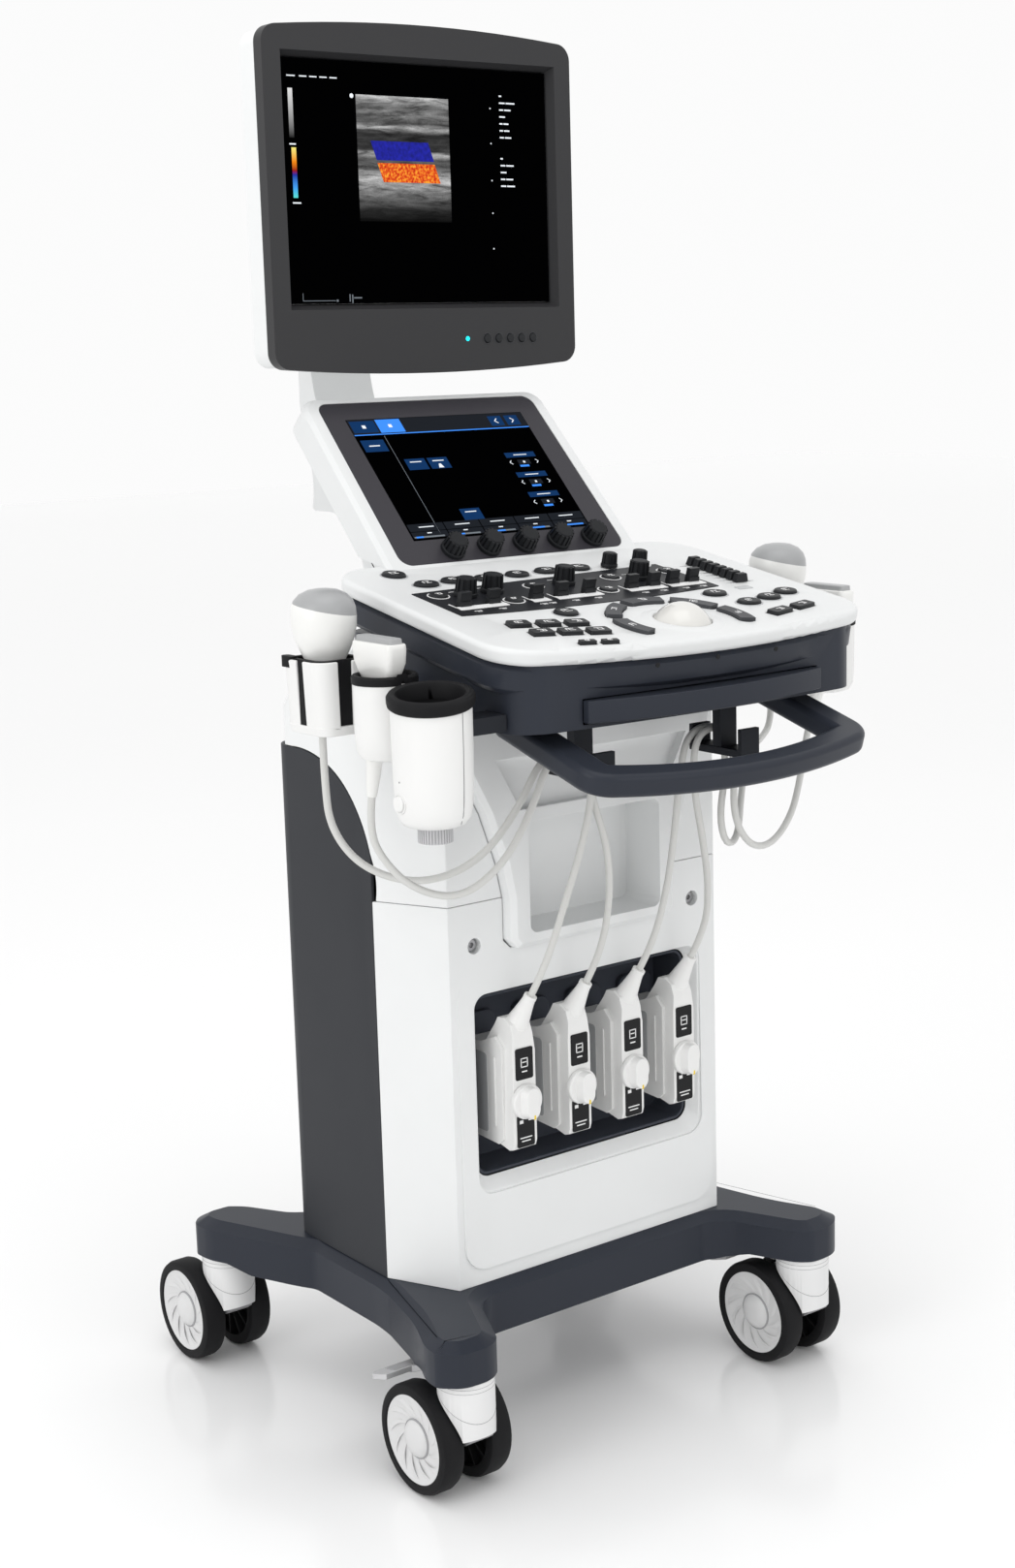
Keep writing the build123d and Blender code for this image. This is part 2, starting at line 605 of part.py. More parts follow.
GEL_BASE = 628.0
GEL_TOP = 731.0
with BuildPart() as probe_cups:
    with Locations(at(GEL[0], GEL[1], GEL_BASE)):
        Cylinder(GEL_R, GEL_TOP - GEL_BASE, align=LOW)
    fillet(probe_cups.edges().filter_by(GeomType.CIRCLE).sort_by(Axis.Z)[0], 14)
    with Locations(at(GEL[0], GEL[1], GEL_TOP)):
        Cylinder(28.5, 86, align=HIGH, mode=Mode.SUBTRACT)
    with Locations(at(GEL[0], GEL[1], GEL_BASE)):
        Cylinder(4.06, 8, align=LOW, mode=Mode.SUBTRACT)
    with BuildSketch(SIDE.offset(GEL[0] - GEL_R - 1)):
        with Locations((GEL[1] + 3, 650)):
            Circle(7.4)
    extrude(amount=5.6, mode=Mode.SUBTRACT)
    for s in (-1, 1):
        with Locations(at(s * SLIM[0], SLIM[1], 674)):
            Cylinder(SLIM_R, 66, align=LOW)
        with Locations(at(s * (SLIM[0] + 3), SLIM[1] + 14, 674)):
            Cylinder(8.6, 8, align=LOW, mode=Mode.SUBTRACT)
        with Locations(at(s * SLIM[0], SLIM[1], 680)):
            Cylinder(23, 60, align=LOW, mode=Mode.SUBTRACT)
        with BuildSketch(FLOOR.offset(690)):
            with Locations((s * WIDE[0], WIDE[1])):
                RectangleRounded(WIDE_X, WIDE_Y, 14)
            with Locations((s * WIDE[0], WIDE[1] + WIDE_EXIT)):
                Circle(10, mode=Mode.SUBTRACT)
        extrude(amount=64)
        with BuildSketch(FLOOR.offset(694)):
            with Locations((s * WIDE[0], WIDE[1])):
                RectangleRounded(WIDE_X - 7, WIDE_Y - 7, 10.5)
        extrude(amount=70, mode=Mode.SUBTRACT)
probe_cups.part.label = "probe_cups"
export_step(probe_cups.part, "parts/probe_cups.step")

with BuildPart() as cup_liners:
    with Locations(at(GEL[0], GEL[1], GEL_TOP)):
        Cylinder(36, 7, align=LOW)
        Cylinder(28.5, 7, align=LOW, mode=Mode.SUBTRACT)
    fillet(cup_liners.edges().filter_by(GeomType.CIRCLE), 2)
    for s in (-1, 1):
        with Locations(at(s * SLIM[0], SLIM[1], 740)):
            Cylinder(28, 6, align=LOW)
            Cylinder(23, 6, align=LOW, mode=Mode.SUBTRACT)
        with BuildSketch(FLOOR.offset(694)):
            with Locations((s * WIDE[0], WIDE[1])):
                RectangleRounded(WIDE_X - 7, WIDE_Y - 7, 10.5)
                RectangleRounded(WIDE_X - 13, WIDE_Y - 13, 8, mode=Mode.SUBTRACT)
        extrude(amount=63)
cup_liners.part.label = "cup_liners"
export_step(cup_liners.part, "parts/cup_liners.step")

with BuildPart() as gel_knob:
    with Locations(at(GEL[0], GEL[1], GEL_BASE - 0.5)):
        Cylinder(14.5, 13, align=HIGH)
        Cylinder(4, 7, align=LOW)
gel_knob.part.label = "gel_knob"
export_step(gel_knob.part, "parts/gel_knob.step")

with BuildPart() as gel_button:
    with BuildSketch(SIDE.offset(GEL[0] - GEL_R - 2)):
        with Locations((GEL[1] + 3, 650)):
            Circle(7)
    extrude(amount=4.6)
gel_button.part.label = "gel_button"
export_step(gel_button.part, "parts/gel_button.step")

with BuildPart() as probes:
    for s in (-1, 1):
        with BuildSketch(Plane(at(s * WIDE[0], WIDE[1], 0), x_dir=(1, 0, 0), z_dir=(0, -1, 0))):
            with BuildLine():
                Polyline((0, 812), (0, 694), (5, 694), (9, 702), (12, 735), (16, 752))
                Spline((16, 752), (25.5, 768), (29, 786), (22, 803), (0, 812))
            make_face()
        revolve(axis=Axis(at(s * WIDE[0], WIDE[1], 0), (0, 0, 1)))
        with Locations(at(s * WIDE[0], WIDE[1] + WIDE_EXIT, 708)):
            Cone(8, 4.4, 24, rotation=(180, 0, 0), align=LOW)
        with BuildSketch(FLOOR.offset(748)):
            with Locations((s * SLIM[0], SLIM[1])):
                RectangleRounded(17, 50, 6)
        extrude(amount=21, taper=3)
        with Locations(at(s * SLIM[0], SLIM[1], 700)):
            Cone(9, 12, 50, align=LOW)
        slim_root = Vector(*at(s * 258.9, -183.6, 700))
        with BuildSketch(Plane(slim_root, z_dir=(-s * SLIM_LEAN.X, SLIM_LEAN.Y, SLIM_LEAN.Z))):
            Circle(8)
        extrude(amount=62, taper=3.3)
probes.part.label = "probes"
export_step(probes.part, "parts/probes.step")

# ---------------------------------------------------------------- touch panel
with BuildPart() as touch_housing:
    with BuildSketch(TOUCH.offset(1)) as face:
        Polygon((-147, -122), (147, -122), (142, 107), (-142, 107), align=None)
        fillet(face.vertices().group_by(Axis.Y)[-1], 20)
    extrude(amount=-31)
    chamfer(touch_housing.faces().sort_by(Axis((0, 0, 0), TOUCH.z_dir))[-1].edges(), 4)
    with BuildSketch(TOUCH.offset(1)) as seat:
        Polygon((-131.4, -105.4), (131.4, -105.4), (127.4, 98.4), (-127.4, 98.4), align=None)
        fillet(seat.vertices(), 12.4)
    extrude(amount=-2.5, mode=Mode.SUBTRACT)
    with BuildSketch(TOUCH.offset(1)):
        with Locations(*[(14.5 + (i - 2) * 41.4, -91) for i in range(5)]):
            Circle(3.06)
    extrude(amount=-12, mode=Mode.SUBTRACT)
    with BuildSketch(DESK):
        with Locations((0, -60)):
            Rectangle(500, 400)
    extrude(amount=-150, mode=Mode.SUBTRACT)
touch_housing.part.label = "touch_housing"
export_step(touch_housing.part, "parts/touch_housing.step")

with BuildPart() as touch_panel:
    with BuildSketch(TOUCH.offset(-1.5)) as glass:
        Polygon((-131, -105), (131, -105), (127, 98), (-127, 98), align=None)
        fillet(glass.vertices(), 12)
        with Locations(*[(14.5 + (i - 2) * 41.4, -91) for i in range(5)]):
            Circle(3.4, mode=Mode.SUBTRACT)
    extrude(amount=2)
touch_panel.part.label = "touch_panel"
export_step(touch_panel.part, "parts/touch_panel.step")

for number in range(1, 6):
    u = 14.5 + (number - 3) * 41.4
    with BuildPart() as knob:
        with BuildSketch(TOUCH.offset(1)):
            with Locations((u, -91)):
                Circle(12)
        extrude(amount=3)
        with BuildSketch(TOUCH.offset(4)):
            with Locations((u, -91)):
                Circle(10.5)
        extrude(amount=12, taper=6)
        with BuildSketch(TOUCH.offset(1)):
            with Locations((u, -91)):
                Circle(3)
        extrude(amount=-10)
    knob.part.label = f"touch_knob_{number}"
    export_step(knob.part, f"parts/touch_knob_{number}.step")

# ---------------------------------------------------------------- neck and monitor
SWIVEL_Y = 222.0
TILT_Y = 188.0
TILT_Z = 1163.0
with BuildPart() as neck:
    with BuildSketch(SIDE.offset(-36)):
        with BuildLine():
            Polyline((-19, 735), (-19, 811), (2, 815), (59, 872))
            Spline((59, 872), (120, 877), (180, 893), (228, 930), (250, 980), (254, 1010))
            Polyline((254, 1010), (254, 1210), (276, 1210), (276, 970))
            Spline((276, 970), (273, 940), (262, 905), (260, 852))
            Polyline((260, 852), (256, 848.6), (231, 848.6))
            Spline((231, 848.6), (202, 841), (182, 824), (169, 796), (150, 735), (100, 654))
            Polyline((100, 654), (63, 699.5), (30, 735.5), (-19, 735))
        make_face()
    extrude(amount=72)
    with Locations(at(0, 230, 1118), at(0, 230, 1188)):
        Box(40, 50, 20, align=LOW)
    with Locations(at(0, SWIVEL_Y, 1118)):
        Cylinder(6.05, 92, align=LOW, mode=Mode.SUBTRACT)
neck.part.label = "neck"
export_step(neck.part, "parts/neck.step")

with BuildPart() as monitor_mount:
    with Locations(at(0, SWIVEL_Y, 1138.4)):
        Cylinder(14, 49.2, align=LOW)
    with Locations(at(0, SWIVEL_Y, 1124)):
        Cylinder(6, 78, align=LOW)
    with Locations(at(0, (SWIVEL_Y + TILT_Y) / 2, TILT_Z)):
        Box(24, SWIVEL_Y - TILT_Y, 20)
    with BuildSketch(SIDE.offset(-28)):
        with Locations((TILT_Y, TILT_Z)):
            Circle(12)
    extrude(amount=56)
    with BuildSketch(SIDE.offset(-40)):
        with Locations((TILT_Y, TILT_Z)):
            Circle(5)
    extrude(amount=80)
monitor_mount.part.label = "monitor_mount"
export_step(monitor_mount.part, "parts/monitor_mount.step")

MON_HALF = 177.0
MON_LOW = 994.0
MON_HIGH = 1299.0
BEZEL_Y = 86.0
DISPLAY_W = 304.0
DISPLAY_H = 220.4
DISPLAY_Z = 1162.8
BUTTONS = [(66.5 + i * 14.1, 1017.5) for i in range(5)]
with BuildPart() as monitor_bezel:
    with BuildSketch(FRONT.offset(-BEZEL_Y)) as frame:
        with BuildLine():
            Line((-MON_HALF, MON_LOW), (-MON_HALF, MON_HIGH))
            ThreePointArc((-MON_HALF, MON_HIGH), (0, MON_HIGH + 9), (MON_HALF, MON_HIGH))
            Line((MON_HALF, MON_HIGH), (MON_HALF, MON_LOW))
            ThreePointArc((MON_HALF, MON_LOW), (0, MON_LOW - 8), (-MON_HALF, MON_LOW))
        make_face()
        fillet(frame.vertices(), 16)
    extrude(amount=-13.6)
    with BuildSketch(FRONT.offset(-BEZEL_Y)):
        with Locations((0, DISPLAY_Z)):
            Rectangle(DISPLAY_W, DISPLAY_H)
        with Locations(*BUTTONS):
            Circle(4.6)
    extrude(amount=-20, mode=Mode.SUBTRACT)
monitor_bezel.part.label = "monitor_bezel"
export_step(monitor_bezel.part, "parts/monitor_bezel.step")

with BuildPart() as monitor_screen:
    with Locations(at(0, 94.6, DISPLAY_Z)):
        Box(DISPLAY_W - 0.4, 5.4, DISPLAY_H - 0.4, align=(Align.CENTER, Align.MIN, Align.CENTER))
monitor_screen.part.label = "monitor_screen"
export_step(monitor_screen.part, "parts/monitor_screen.step")

with BuildPart() as monitor_rear:
    with BuildSketch(FRONT.offset(-100)):
        with Locations((0, 1146.5)):
            RectangleRounded(2 * MON_HALF - 2, 304, 16)
    extrude(amount=-26)
    with BuildSketch(FRONT.offset(-126)):
        with Locations((0, 1146.5)):
            RectangleRounded(2 * MON_HALF - 2, 304, 16)
    with BuildSketch(FRONT.offset(-160)):
        with Locations((0, 1150)):
            RectangleRounded(250, 210, 20)
    loft()
    with BuildSketch(SIDE.offset(-40), SIDE.offset(28.4)):
        Polygon(
            (150, TILT_Z - 20), (TILT_Y, TILT_Z - 13), (TILT_Y + 13, TILT_Z),
            (TILT_Y, TILT_Z + 13), (150, TILT_Z + 20), align=None,
        )
    extrude(amount=11.6)
    with BuildSketch(SIDE.offset(-50)):
        with Locations((TILT_Y, TILT_Z)):
            Circle(5.05)
    extrude(amount=100, mode=Mode.SUBTRACT)
    with BuildSketch(FRONT.offset(-100)):
        with Locations(*BUTTONS):
            Circle(4.6)
    extrude(amount=-4, mode=Mode.SUBTRACT)
monitor_rear.part.label = "monitor_rear"
export_step(monitor_rear.part, "parts/monitor_rear.step")

with BuildPart() as monitor_buttons:
    with BuildSketch(FRONT.offset(-BEZEL_Y + 1.8)):
        with Locations(*BUTTONS):
            Circle(4.2)
    extrude(amount=-15)
monitor_buttons.part.label = "monitor_buttons"
export_step(monitor_buttons.part, "parts/monitor_buttons.step")

# ---------------------------------------------------------------- cords
HOOK_Z = 662.0
IN_X = 61.0
OUT_X = 105.0
RUN = 33.0


def connector_end(x):
    # end of the strain relief on the connector at x, and the next point straight on from it
    root = Vector(*at(x + 2, -146, 402)) + LEAN * 30
    return [root, root + LEAN * RUN]


def slim_end(s):
    # the same for the slim probe on side s, given in the other order
    lean = Vector(-s * SLIM_LEAN.X, SLIM_LEAN.Y, SLIM_LEAN.Z)
    root = Vector(*at(s * 258.9, -183.6, 700)) + lean * 62
    return [root + lean * 28, root]


CORDS = {
    "cable_convex_left": connector_end(CONNECTOR_X[1]) + [
        at(-14, -186, 515), at(-27, -199, 566), at(-52, -209, 615), at(-IN_X, -209, HOOK_Z),
        at(-OUT_X, -209, HOOK_Z), at(-124, -197, 614), at(-154, -177, 567), at(-196, -149, 549),
        at(-238, -122, 565), at(-261, -107, 602), at(-264, -106, 646), at(-264, -106, 684),
    ],
    "cable_linear_left": connector_end(CONNECTOR_X[0]) + [
        at(-66, -184, 515), at(-58, -199, 566), at(-55, -214, 618), at(-IN_X, -218, HOOK_Z),
        at(-OUT_X, -218, HOOK_Z), at(-122, -212, 612), at(-149, -203, 566), at(-186, -189, 541),
        at(-226, -175, 556), at(-249, -163, 587),
    ] + slim_end(-1),
    "cable_linear_right": connector_end(CONNECTOR_X[3]) + [
        at(104, -188, 506), at(84, -203, 555), at(62, -215, 612), at(IN_X + 2, -218, HOOK_Z),
        at(OUT_X + 2, -218, HOOK_Z), at(108, -220, 616), at(109, -218, 574), at(138, -208, 541),
        at(180, -193, 533), at(222, -177, 552), at(248, -163, 583),
    ] + slim_end(1),
    "cable_convex_right": connector_end(CONNECTOR_X[2]) + [
        at(53, -188, 514), at(52, -200, 566), at(50, -209, 615), at(IN_X, -209, HOOK_Z),
        at(OUT_X, -209, HOOK_Z), at(107, -210, 617), at(100, -208, 575), at(112, -204, 545),
        at(142, -188, 545), at(158, -176, 590), at(188, -154, 620), at(228, -128, 622),
        at(258, -110, 630), at(264, -106, 656), at(264, -106, 684),
    ],
}
for label, route in CORDS.items():
    points = [Vector(p) for p in route]
    runs = [(b - a).length for a, b in zip(points, points[1:])]
    radii = []
    for i in range(1, len(points) - 1):
        a = points[i] - points[i - 1]
        b = points[i + 1] - points[i]
        half = acos(max(-1, min(1, a.dot(b) / (a.length * b.length)))) / 2
        radii.append(0.45 * min(a.length, b.length) / tan(half))
    with BuildPart() as cord:
        with BuildLine() as wire:
            FilletPolyline(*points, radius=radii)
        with BuildSketch(Plane(points[0], z_dir=points[1] - points[0])):
            Circle(CORD_D / 2)
        sweep()
    cord.part.label = label
    export_step(cord.part, f"parts/{label}.step")
    length = sum(edge.length for edge in wire.edges())
    ratio = cord.part.volume / (3.14159265 * CORD_D ** 2 / 4 * length)
    print(label, "radii", [round(r, 1) for r in radii], "runs", [round(r) for r in runs])
    print(label, "length", round(length), "volume ratio", round(ratio, 4))
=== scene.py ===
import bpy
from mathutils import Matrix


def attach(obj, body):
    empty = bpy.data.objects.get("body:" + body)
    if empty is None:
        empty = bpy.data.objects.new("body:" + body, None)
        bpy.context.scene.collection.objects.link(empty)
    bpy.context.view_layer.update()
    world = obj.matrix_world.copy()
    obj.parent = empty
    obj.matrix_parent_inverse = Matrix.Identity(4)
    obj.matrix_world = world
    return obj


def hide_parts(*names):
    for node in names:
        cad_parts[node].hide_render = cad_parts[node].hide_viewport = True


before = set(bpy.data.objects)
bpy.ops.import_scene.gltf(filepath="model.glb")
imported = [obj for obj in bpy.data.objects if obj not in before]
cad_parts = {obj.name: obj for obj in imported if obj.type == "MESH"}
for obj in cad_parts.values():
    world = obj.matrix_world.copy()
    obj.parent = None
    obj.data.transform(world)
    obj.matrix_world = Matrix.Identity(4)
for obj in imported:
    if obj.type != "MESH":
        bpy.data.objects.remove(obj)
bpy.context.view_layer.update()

# Viewpoint and studio: a standing eye to the left front of the cart, on a pale glossy floor
# under three soft boxes, with a white surround.
import bpy
import bmesh
import random
from math import sin, cos, pi, radians
from mathutils import Matrix, Vector

MID_Y = 47.9


def pt(x, y, z):
    """a place on the cart, given in millimetres from the middle of the column"""
    return Vector((x, y + MID_Y, z)) / 1000


AZIMUTH, DROP, ROLL = radians(36.7006), radians(10.9594), radians(-1.6331)
toward = Vector((-sin(AZIMUTH) * cos(DROP), -cos(AZIMUTH) * cos(DROP), sin(DROP)))
level = Vector((cos(AZIMUTH), -sin(AZIMUTH), 0))
upward = toward.cross(level)
side = level * cos(ROLL) + upward * sin(ROLL)
head = upward * cos(ROLL) - level * sin(ROLL)
eye = bpy.data.objects.new("eye", bpy.data.cameras.new("eye"))
eye.data.lens = 50.943
eye.data.sensor_width = 36
eye.matrix_world = Matrix.Translation(pt(-1260.36, -1706.13, 1001.68)) @ Matrix(
    (side, head, toward)).transposed().to_4x4()
bpy.context.scene.collection.objects.link(eye)
bpy.context.scene.camera = eye
bpy.context.scene.view_settings.view_transform = "Standard"

surround = bpy.data.worlds.new("surround")
surround.use_nodes = True
surround.node_tree.nodes["Background"].inputs["Color"].default_value = (1, 1, 1, 1)
surround.node_tree.nodes["Background"].inputs["Strength"].default_value = 0.97
bpy.context.scene.world = surround


def soft_box(name, place, aim, size, power):
    """a rectangular studio light that faces its aim"""
    light = bpy.data.lights.new(name, "AREA")
    light.shape = "RECTANGLE"
    light.size, light.size_y = size
    light.energy = power
    lamp = bpy.data.objects.new(name, light)
    place = Vector(place)
    facing = (place - Vector(aim)).to_track_quat("Z", "Y").to_matrix().to_4x4()
    lamp.matrix_world = Matrix.Translation(place) @ facing
    bpy.context.scene.collection.objects.link(lamp)


soft_box("left_box", (-3.4, -0.6, 1.9), (0, 0, 0.7), (1.6, 2.6), 27)
soft_box("top_box", (-0.4, -0.9, 3.6), (0, 0, 0.6), (2.4, 2.4), 20)
soft_box("front_box", (1.0, -3.6, 1.6), (0, 0, 0.7), (1.4, 2.2), 9)

ground_mesh = bmesh.new()
bmesh.ops.create_grid(ground_mesh, x_segments=2, y_segments=2, size=14)
ground = bpy.data.objects.new("studio_floor", bpy.data.meshes.new("studio_floor"))
ground_mesh.to_mesh(ground.data)
ground_mesh.free()
bpy.context.scene.collection.objects.link(ground)


def new_finish(name, **values):
    """a material whose shader inputs have the given values, and its node tree and shader"""
    finish = bpy.data.materials.new(name)
    finish.use_nodes = True
    shader = finish.node_tree.nodes["Principled BSDF"]
    for key, value in values.items():
        shader.inputs[key.replace("_", " ")].default_value = value
    return finish, finish.node_tree, shader


pale_floor, _, _ = new_finish("pale_floor", Base_Color=(0.93, 0.93, 0.93, 1), Roughness=0.16,
                              Specular_IOR_Level=0.35)
ground.data.materials.append(pale_floor)

# Probe cables: limp light grey silicone-jacketed cords, four of them. Each runs from its connector's
# strain relief, up over the cable hook under the console, down in a loop and up into its holder.


def add_node(tree, kind, inputs=(), **settings):
    """a shader node with its settings made first and its input values next"""
    node = tree.nodes.new("ShaderNode" + kind)
    for key, value in settings.items():
        setattr(node, key, value)
    for key, value in dict(inputs).items():
        node.inputs[key].default_value = value
    return node


def wire(tree, *links):
    """join nodes: each link is an output, the node that it feeds and the input's name"""
    for output, node, name in links:
        tree.links.new(output, node.inputs[name])


def moulding(name, colour, rough=0.45, grain=0.12, grain_size=2600.0, shade=0.03, coat=0.0, metal=0.0):
    """a moulded or painted finish: faint tone drift, uneven gloss and a fine grain in the surface"""
    finish, tree, shader = new_finish(name, Metallic=metal, Coat_Weight=coat, Coat_Roughness=0.2,
                                      Specular_IOR_Level=0.16 if max(colour) < 0.1 else 0.45)
    place = add_node(tree, "TexCoord").outputs["Object"]
    drift = add_node(tree, "TexNoise", {"Scale": 14, "Detail": 4})
    tone = add_node(tree, "Mix", {"A": (*[c * (1 - shade) for c in colour], 1),
                                  "B": (*[min(1, c * (1 + shade)) for c in colour], 1)}, data_type="RGBA")
    gloss = add_node(tree, "MapRange", {"To Min": rough - 0.06, "To Max": rough + 0.06})
    speck = add_node(tree, "TexNoise", {"Scale": grain_size, "Detail": 2})
    bump = add_node(tree, "Bump", {"Strength": grain, "Distance": 0.0002})
    wire(tree, (place, drift, "Vector"), (drift.outputs["Fac"], tone, "Factor"),
         (tone.outputs["Result"], shader, "Base Color"), (drift.outputs["Fac"], gloss, "Value"),
         (gloss.outputs["Result"], shader, "Roughness"), (place, speck, "Vector"),
         (speck.outputs["Fac"], bump, "Height"), (bump.outputs["Normal"], shader, "Normal"))
    return finish


cable_jacket = moulding("cable_jacket", (0.63, 0.63, 0.61), rough=0.38, grain=0.05)
CORD = 0.0066
HOOK_Z, IN_X, OUT_X = 662, 61, 105
CONNECTOR_X = [-96.75, -32.25, 32.25, 96.75]
LEAN = Vector((8, -11, 26)).normalized()


def connector_end(x):
    """the cord's two points in its connector's relief"""
    root = pt(x + 2, -146, 402) + LEAN * 0.030
    return [root, root + LEAN * 0.033]


def slim_end(s):
    """the cord's two points in a linear probe's relief, on the left (-1) or the right (1)"""
    lean = Vector((-s * 2, 13, -50)).normalized()
    root = pt(s * 258.9, -183.6, 700) + lean * 0.062
    return [root + lean * 0.028, root]


CORDS = {
    "cable_convex_left": (connector_end(CONNECTOR_X[1]) + [
        pt(-14, -186, 515), pt(-27, -199, 566), pt(-52, -209, 615), pt(-IN_X, -209, HOOK_Z),
        pt(-OUT_X, -209, HOOK_Z), pt(-124, -197, 614), pt(-154, -177, 567), pt(-196, -149, 549),
        pt(-238, -122, 565), pt(-261, -107, 602), pt(-264, -106, 646), pt(-264, -106, 684)], 0.623),
    "cable_linear_left": (connector_end(CONNECTOR_X[0]) + [
        pt(-66, -184, 515), pt(-58, -199, 566), pt(-55, -214, 618), pt(-IN_X, -218, HOOK_Z),
        pt(-OUT_X, -218, HOOK_Z), pt(-122, -212, 612), pt(-149, -203, 566), pt(-186, -189, 541),
        pt(-226, -175, 556), pt(-249, -163, 587)] + slim_end(-1), 0.566),
    "cable_linear_right": (connector_end(CONNECTOR_X[3]) + [
        pt(104, -188, 506), pt(84, -203, 555), pt(62, -215, 612), pt(IN_X + 2, -218, HOOK_Z),
        pt(OUT_X + 2, -218, HOOK_Z), pt(108, -220, 616), pt(109, -218, 574), pt(138, -208, 541),
        pt(180, -193, 533), pt(222, -177, 552), pt(248, -163, 583)] + slim_end(1), 0.603),
    "cable_convex_right": (connector_end(CONNECTOR_X[2]) + [
        pt(53, -188, 514), pt(52, -200, 566), pt(50, -209, 615), pt(IN_X, -209, HOOK_Z),
        pt(OUT_X, -209, HOOK_Z), pt(107, -210, 617), pt(100, -208, 575), pt(112, -204, 545),
        pt(142, -188, 545), pt(158, -176, 590), pt(188, -154, 620), pt(228, -128, 622),
        pt(258, -110, 630), pt(264, -106, 656), pt(264, -106, 684)], 0.650),
}
for label, (route, length) in CORDS.items():
    line = bpy.data.curves.new(label + "_jacket", "CURVE")
    line.dimensions = "3D"
    line.bevel_depth = CORD / 2
    line.bevel_resolution = 4
    line.resolution_u = 10
    line.use_fill_caps = True
    run = line.splines.new("NURBS")
    run.points.add(len(route) - 1)
    for knot, place in zip(run.points, route):
        knot.co = (*place, 1)
    run.order_u = 3
    run.use_endpoint_u = True
    line.materials.append(cable_jacket)
    jacket = bpy.data.objects.new(label + "_jacket", line)
    bpy.context.scene.collection.objects.link(jacket)
    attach(jacket, "machine")
    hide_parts(label)

# Base frame: a cast and painted X-shaped foot with a bevelled upper edge, in satin blue-black.
# The column stands on it, and the caster stems are pushed up into its four ends.


def verts_in(geometry):
    """the vertices in what a bmesh operator returns"""
    return [item for item in geometry if isinstance(item, bmesh.types.BMVert)]


def paint(verts, finish):
    """give every face on these vertices the piece's finish of that number"""
    for face in {f for v in verts for f in v.link_faces}:
        face.material_index = finish


def from_mesh_kit(bm, name, body, finishes, place=None, node=None, edge=0.0, steps=2, limit=30,
                  smooth=35):
    """turn a mesh, made in millimetres on its own flat plane, into a piece that may replace a node"""
    if place is not None:
        bmesh.ops.transform(bm, matrix=place, verts=bm.verts)
    bmesh.ops.recalc_face_normals(bm, faces=bm.faces)
    mesh = bpy.data.meshes.new(name)
    bm.to_mesh(mesh)
    bm.free()
    for finish in finishes:
        mesh.materials.append(finish)
    mesh.shade_smooth()
    mesh.set_sharp_from_angle(angle=radians(smooth))
    piece = bpy.data.objects.new(name, mesh)
    bpy.context.scene.collection.objects.link(piece)
    if edge:
        round_over = piece.modifiers.new("rounded_edges", "BEVEL")
        round_over.width = edge / 1000
        round_over.segments = steps
        round_over.limit_method = "ANGLE"
        round_over.angle_limit = radians(limit)
        round_over.harden_normals = True
    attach(piece, body)
    if node:
        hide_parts(node)


def cad_copy(node):
    """a workable copy of a frame part: joined triangles, flat areas made whole again"""
    bm = bmesh.new()
    bm.from_mesh(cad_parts[node].data)
    bmesh.ops.remove_doubles(bm, verts=bm.verts, dist=1e-6)
    bmesh.ops.dissolve_limit(bm, angle_limit=radians(0.6), verts=bm.verts, edges=bm.edges)
    for face in bm.faces:
        face.material_index = 0
    return bm


def softened(node, edge, body, slot, *finishes, change=None, steps=3, limit=30):
    """the frame part with its moulded edges rounded over, and any change to its faces made first"""
    bm = cad_copy(node)
    if change:
        change(bm)
    from_mesh_kit(bm, node + "_moulded", body, finishes, None, node, edge, steps, limit)


blue_black = moulding("blue_black_paint", (0.027, 0.031, 0.042), rough=0.36, grain=0.10, grain_size=1800,
                      coat=0.04)
BASE_LOW, BASE_HIGH = 109.0, 155.2
EDGE_IN, EDGE_UP = 13, 7
FOOT_RISE, FOOT_CUTS = 7.5, (-177, -150, 118, 145)
FLOOR = Matrix.Translation((0, MID_Y / 1000, 0)) @ Matrix.Scale(0.001, 4)
LEG = [(148, -146, 22), (183, -222, 10), (196, -232, 16), (226, -232, 18), (244, -215, 18), (243, -196, 12),
       (222, -150, 20), (206, -85, 20), (203, -60, 12), (203, 48, 12), (214, 68, 20), (256, 165, 20),
       (258, 188, 14), (244, 205, 16), (212, 205, 14), (194, 190, 12), (168, 145, 12), (150, 132, 14)]
foot = bmesh.new()
outline = [foot.verts.new((x, y, 0)) for x, y, _ in LEG] + [foot.verts.new((-x, y, 0)) for x, y,
                                                            _ in LEG[::-1]]
foot.faces.new(outline)
for v, (_, _, corner) in zip(outline, LEG + LEG[::-1]):
    reach = min(e.calc_length() for e in v.link_edges) * 0.45
    bmesh.ops.bevel(foot, geom=[v], offset=min(corner, reach), segments=6, profile=0.5,
                    affect="VERTICES", material=-1)
plan = max(foot.faces, key=lambda f: f.calc_area())
grown = bmesh.ops.extrude_face_region(foot, geom=[plan])["geom"]
bmesh.ops.translate(foot, verts=verts_in(grown), vec=(0, 0, BASE_HIGH - EDGE_UP - BASE_LOW))
top = next(f for f in grown if isinstance(f, bmesh.types.BMFace))
bmesh.ops.inset_region(foot, faces=[top], thickness=EDGE_IN, use_even_offset=True)
bmesh.ops.translate(foot, verts=list(top.verts), vec=(0, 0, EDGE_UP))
for y in FOOT_CUTS:
    parts = foot.verts[:] + foot.edges[:] + foot.faces[:]
    bmesh.ops.bisect_plane(foot, geom=parts, plane_co=(0, y, 0), plane_no=(0, 1, 0), dist=1e-4)
for v in foot.verts:
    if v.co.z < 1:
        v.co.z = FOOT_RISE * max(0, min(1, (abs(v.co.y + 16) - 134) / 27))
